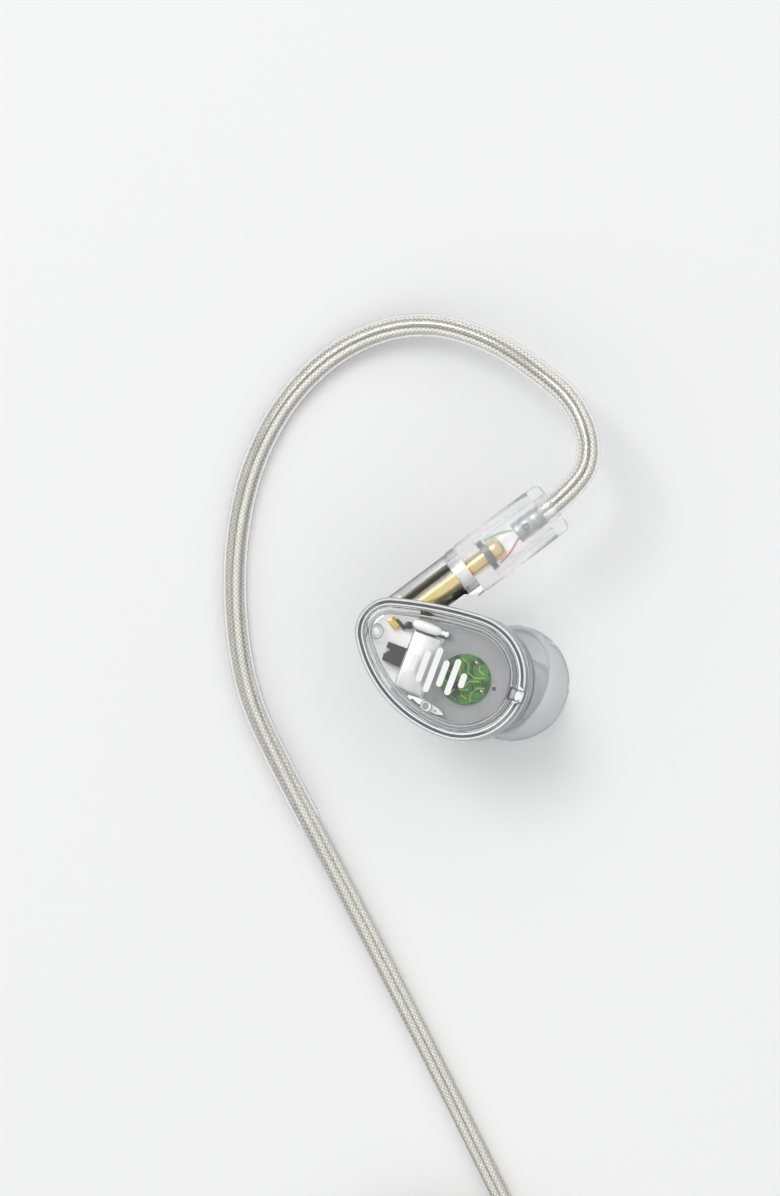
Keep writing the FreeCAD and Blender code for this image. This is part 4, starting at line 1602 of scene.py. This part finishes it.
    def damper(self) -> Shape:
        """The leaf-shaped damper below the armature, with the boss for its screw."""
        z = PLATE_TOP + 0.62
        points = [(-5.35, -1.95), (-4.9, -2.25), (-4.3, -2.55), (-3.7, -2.85)]
        points += [(-3.0, -3.22), (-2.4, -3.52), (-1.85, -3.82)]
        radii = [0.10, 0.30, 0.46, 0.54, 0.50, 0.34, 0.06]
        shape = Shape().tube([Vector((x, y, z)) for x, y in points], radii, 20)
        for point in shape.points:
            point.z = z + (point.z - z) * self.flatness
        ring = [(0.2, 0.38), (0.2, 0.54), (0.52, 0.56), (0.58, 0.50), (0.58, 0.42), (0.52, 0.38)]
        return shape.lathe(self.screw_at, UP, [(z + rise, r) for rise, r in ring], 36, True)

    def screw(self) -> Shape:
        """The small screw in the damper's boss and the pin beside it."""
        z = PLATE_TOP + 0.8
        head = [(z, 0.26), (z + 0.24, 0.26), (z + 0.30, 0.20), (z + 0.30, 0.05)]
        shape = Shape().lathe(self.screw_at, UP, head, 24)
        pin = [(z, 0.11), (z + 0.22, 0.11), (z + 0.26, 0.05)]
        return shape.lathe(Vector((-2.65, -3.38, 0)), UP, pin, 16)

    def shadows(self) -> Shape:
        """Painted shadows: dark pieces in the narrow gaps round the damper's boss and along the undersides of
        the tube and the damper.
        """
        z = PLATE_TOP + 1.14
        shape = Shape()
        section = [(z, 0.60), (z + 0.07, 0.60), (z + 0.07, 0.55), (z, 0.55)]
        shape.lathe(self.screw_at, UP, section, 36, True)
        low = PLATE_TOP + 0.45
        lower = [(-5.45, -1.95), (-4.9, -2.35), (-4.3, -2.78), (-3.7, -3.14)]
        lower += [(-3.0, -3.46), (-2.4, -3.68), (-1.82, -3.86)]
        shape.tube([Vector((x, y, low)) for x, y in lower], [0.06, 0.36, 0.40, 0.40, 0.36, 0.26, 0.05], 12)
        upper = [(-4.80, 5.16), (-4.3, 4.98), (-3.4, 4.64), (-2.5, 4.30), (-1.95, 4.10), (-1.3, 3.86)]
        return shape.tube([Vector((x, y, low)) for x, y in upper], [0.25, 0.50, 0.52, 0.52, 0.32, 0.27], 12)

    def bracket(self) -> Shape:
        """The notched black block that holds the two drivers apart."""
        middle = Vector((-6.62, 2.12, 0))
        corners = [(-0.95, 0.98), (-0.95, 0.42), (-0.55, 0.42), (-0.55, 0.10), (-0.78, 0.10), (-0.78, -0.22)]
        corners += [(-1.02, -0.22), (-1.02, -0.98), (1.0, -0.98), (1.0, 0.98)]
        outline = [middle + LEAN_ON * x + LEAN_UP * y for x, y in corners]
        return Shape().slab(outline, PLATE_TOP - 1.4, PLATE_TOP + 0.35, 0.05)

    def contact(self) -> Shape:
        """The socket's gold pin and its bent solder tab."""
        depth = self.socket_depth
        shape = Shape().lathe(PLUG_FACE, PLUG_DIR, [(-depth, 0.38), (-4.25, 0.38), (-4.2, 0.3)], 28)
        end = PLUG_FACE - PLUG_DIR * depth
        shape.block(Vector((end.x - 0.45, end.y + 0.02, 12.5)), Vector((0.95, 1.25, 2.9)), 35, 0.12)
        return shape

    def boot(self) -> Shape:
        """The black ring round the tab and the small plug beside it."""
        end = PLUG_FACE - PLUG_DIR * self.socket_depth
        at = Vector((end.x + 0.20, end.y - 0.16, 12.75))
        shape = Shape().block(at, Vector((0.36, 1.35, 2.62)), 35, 0.08)
        plug = [(PLATE_TOP - 0.9, 0.42), (PLATE_TOP + 0.14, 0.42), (PLATE_TOP + 0.20, 0.34)]
        return shape.lathe(Vector((-5.15, 4.98, 0)), UP, plug, 28)

    def vent(self) -> Shape:
        """The driver's vent in the grey plate: a dark ring, painted shade standing for the hole."""
        z = PLATE_TOP
        lip = [(z - 0.02, 0.20), (z + 0.02, 0.20), (z + 0.05, 0.16), (z + 0.02, 0.10)]
        return Shape().lathe(Vector((3.1, -1.23, 0)), UP, lip, 24)

    def diaphragm(self) -> Shape:
        """The driver's film: a dome in the middle and a rolled surround."""
        top = [(10.93, 3.72), (10.93, 3.3), (10.60, 2.9), (10.45, 2.5), (10.62, 2.1)]
        top += [(10.86, 1.9), (10.72, 1.5), (10.56, 1.0), (10.48, 0.4)]
        under = [(z + 0.10, r) for z, r in reversed(top)]
        return Shape().lathe(Vector((1.2, -0.5, 0.12)), UP, top + under, 72)

    def armature_seam(self) -> Shape:
        """The folded lid of the armature's case, standing a little proud of it."""
        low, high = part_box("armature_driver_right")
        middle = (low + high) / (2 * MM) - EAR
        at = Vector((middle.x, middle.y, high.z / MM + 0.02))
        return Shape().block(at, Vector((2.45, 5.45, 0.10)), LEAN_DEG, 0.03)

    def wire(self, n: int) -> Shape:
        """One lacquered wire from the socket, under the armature, to the round driver."""
        shift = 0.45 * n
        points = [(-6.3, 4.55, 11.6), (-6.0, 3.7, 11.7), (-5.2, 2.9, 12.1), (-4.2, 2.2, 12.3)]
        points += [(-3.3, 1.5, 12.3), (-2.95, 1.05, 12.5), (-2.9, 0.95, 12.9)]
        return Shape().tube([Vector((x, y - shift, z)) for x, y, z in points], 0.10, 10)

    def cradle(self) -> Shape:
        """The white tray that fills the shell's narrow end, up to the armature's left side."""
        edge, z = Vector((-4.62, 4.5, 0)), self.cradle_z
        outline = [p for p in FaceOutline().ring(1.08, z) if (p - edge).dot(LEAN_ON) < 0]
        first = next(i for i, p in enumerate(outline) if (outline[i - 1] - p).length > 2)
        return Shape().slab(outline[first:] + outline[:first], z - 0.2, z, 0.06)

    def post(self) -> Shape:
        """The alignment post's milky core."""
        core = [(PLATE_TOP - 0.9, 0.40), (PLATE_TOP + 0.30, 0.40), (PLATE_TOP + 0.36, 0.32)]
        return Shape().lathe(self.post_at, UP, core, 28)

    def post_ring(self) -> Shape:
        """The shadow ring at the post's foot."""
        z, outer, inner = PLATE_TOP - 0.2, 0.82, 0.75
        section = [(z, outer), (z + 0.08, outer), (z + 0.08, inner), (z, inner)]
        return Shape().lathe(self.post_at, UP, section, 40, True)


@dataclass
class ConnectorPlug:
    """The frosted plug and what can be seen in it."""

    outer_r: float = 2.74
    length: float = 10.3
    bore_r: float = 1.63
    barrel_r: float = 0.88
    tail_r: float = 1.19
    crimp_r: float = 1.07

    def build(self, side: Side) -> None:
        """Makes one plug."""
        body, tag = "cable_set", side.tag
        make(
            f"frosted_plug_{tag}",
            self.housing(),
            FROSTED,
            body,
            side,
            [f"plug_housing_{tag}"],
            sharp_deg=50,
        )
        make(f"crimp_{tag}", self.crimp(), CRIMP, body, side, ["plug_ferrules"])
        make(f"crimp_dimple_{tag}", self.crimp_dot(), PAINTED_SHADE, body, side)
        make(f"solder_cup_{tag}", self.cup(), GOLD, body, side, ["plug_pins"])
        for name, way, finish in (("green", 1, GREEN_WIRE), ("red", -1, RED_WIRE)):
            make(f"{name}_wire_{tag}", self.wire(way), finish, body, side, ["plug_wires"])
        dress(f"plug_barrel_{tag}", GOLD)
        dress(f"snap_ring_{tag}", SPRING)

    def housing(self) -> Shape:
        """The moulding: an eased mouth, a fine line before the tail cap, a rounded tail, and the bore."""
        end, r, bore, seat = self.length, self.outer_r, self.bore_r, self.barrel_r + 0.01
        outline = [(0.05, seat), (0.05, r - 0.12), (0.10, r - 0.04), (0.20, r)]
        outline += [(end - 1.55, r), (end - 1.50, r - 0.05), (end - 1.42, r - 0.05), (end - 1.37, r)]
        outline += [(end - 0.55, r), (end - 0.30, r - 0.08), (end - 0.10, r - 0.26), (end, r - 0.55)]
        outline += [(end, self.tail_r), (end - 1.3, self.tail_r), (end - 1.3, bore)]
        outline += [(1.95, bore), (1.95, seat)]
        return Shape().lathe(PLUG_FACE, PLUG_DIR, outline, 96, True)

    def crimp(self) -> Shape:
        """The rolled ferrule with its crimp marks."""
        r = self.crimp_r
        outline = [(5.6, 0.94), (5.6, 1.02), (5.68, r)]
        for s in (6.3, 7.3, 8.3):
            outline += [(s - 0.16, r), (s - 0.05, 1.0), (s + 0.05, 1.0), (s + 0.16, r)]
        outline += [(8.92, r), (9.0, 1.02), (9.0, 0.94)]
        return Shape().lathe(PLUG_FACE, PLUG_DIR, outline, 48, True)

    def crimp_dot(self) -> Shape:
        """The rough dimple that the crimping tool leaves, coloured dark as painted shade in the dent."""
        dot = PLUG_FACE + PLUG_DIR * 6.75 + Vector((0, 0, 1.0))
        ring = [(-0.1, 0.36), (0.08, 0.36), (0.13, 0.30), (0.08, 0.22), (0.05, 0.12), (0.12, 0.04)]
        return Shape().lathe(dot, UP, ring, 20)

    def cup(self) -> Shape:
        """The centre pin with its solder cup, cut open at the top."""
        shape = Shape().lathe(PLUG_FACE, PLUG_DIR, [(-3.4, 0.18), (-3.25, 0.30), (2.6, 0.30)], 24)
        outline = [(2.55, 0.32), (2.55, 1.02), (2.75, 1.10), (3.55, 1.10)]
        outline += [(3.85, 0.95), (3.95, 0.75), (3.95, 0.32)]
        return shape.lathe(PLUG_FACE, PLUG_DIR, outline, 40, True)

    def wire(self, way: int) -> Shape:
        """One wire from the cup or the washer's rim to the crimp."""
        over = Vector((-PLUG_DIR.y, PLUG_DIR.x, 0)) * way
        stops = [(2.75, 1.33), (3.2, 1.30), (3.8, 1.20), (4.4, 1.02)]
        stops += [(4.9, 0.78), (5.35, 0.55), (5.9, 0.45), (6.4, 0.42)]
        path = [PLUG_FACE + PLUG_DIR * s + over * n for s, n in stops]
        return Shape().tube(path, 0.11, 10)


@dataclass
class EarTip:
    """The silicone tip: a domed skirt on a core, pushed on the nozzle."""

    at: tuple[float, float, float] = (1.53, 0.8, 9.7)
    tilt_deg: float = 42.0
    heading_deg: float = -24.0
    start: float = 4.6
    end: float = 10.4
    core_r: float = 2.35
    skirt_r: float = 5.6

    def axis(self) -> Vector:
        """The nozzle's axis, down and away from the face."""
        tilt, heading = math.radians(self.tilt_deg), math.radians(self.heading_deg)
        flat = math.sin(tilt)
        return Vector((flat * math.cos(heading), flat * math.sin(heading), -math.cos(tilt)))

    def build(self, side: Side) -> None:
        """Makes one tip."""
        core, skirt, end, start, bore = self.core_r, self.skirt_r, self.end, self.start, self.core_r - 0.35
        dome = arc_through((end, core + 0.15), (8.6, 4.75), (start, skirt), 16)
        inside = arc_through((start, skirt - 0.45), (8.1, 4.3), (9.45, core + 0.55), 16)
        outline = [(end, bore), *dome, (4.5, skirt - 0.1), (4.46, skirt - 0.23), (4.5, skirt - 0.36)]
        outline += [*inside, (5.0, core + 0.55), (5.0, core), (8.66, core), (8.66, bore)]
        shape = Shape().lathe(Vector(self.at), self.axis(), outline, 96, True)
        name = f"silicone_tip_{side.tag}"
        make(name, shape, SILICONE, f"tip_{side.tag}", side, [f"ear_tip_{side.tag}"], 60)


def main() -> None:
    """Builds the studio, the cable and both earpieces, in that order."""
    logging.basicConfig(level=logging.INFO, format="%(name)s: %(message)s")
    Studio().build()
    Harness().build()
    dress("plug_washers", PHENOLIC)
    for side in Side:
        FaceCover().build(side)
        Innards().build(side)
        ConnectorPlug().build(side)
        EarTip().build(side)


if __name__ == "__main__":
    main()
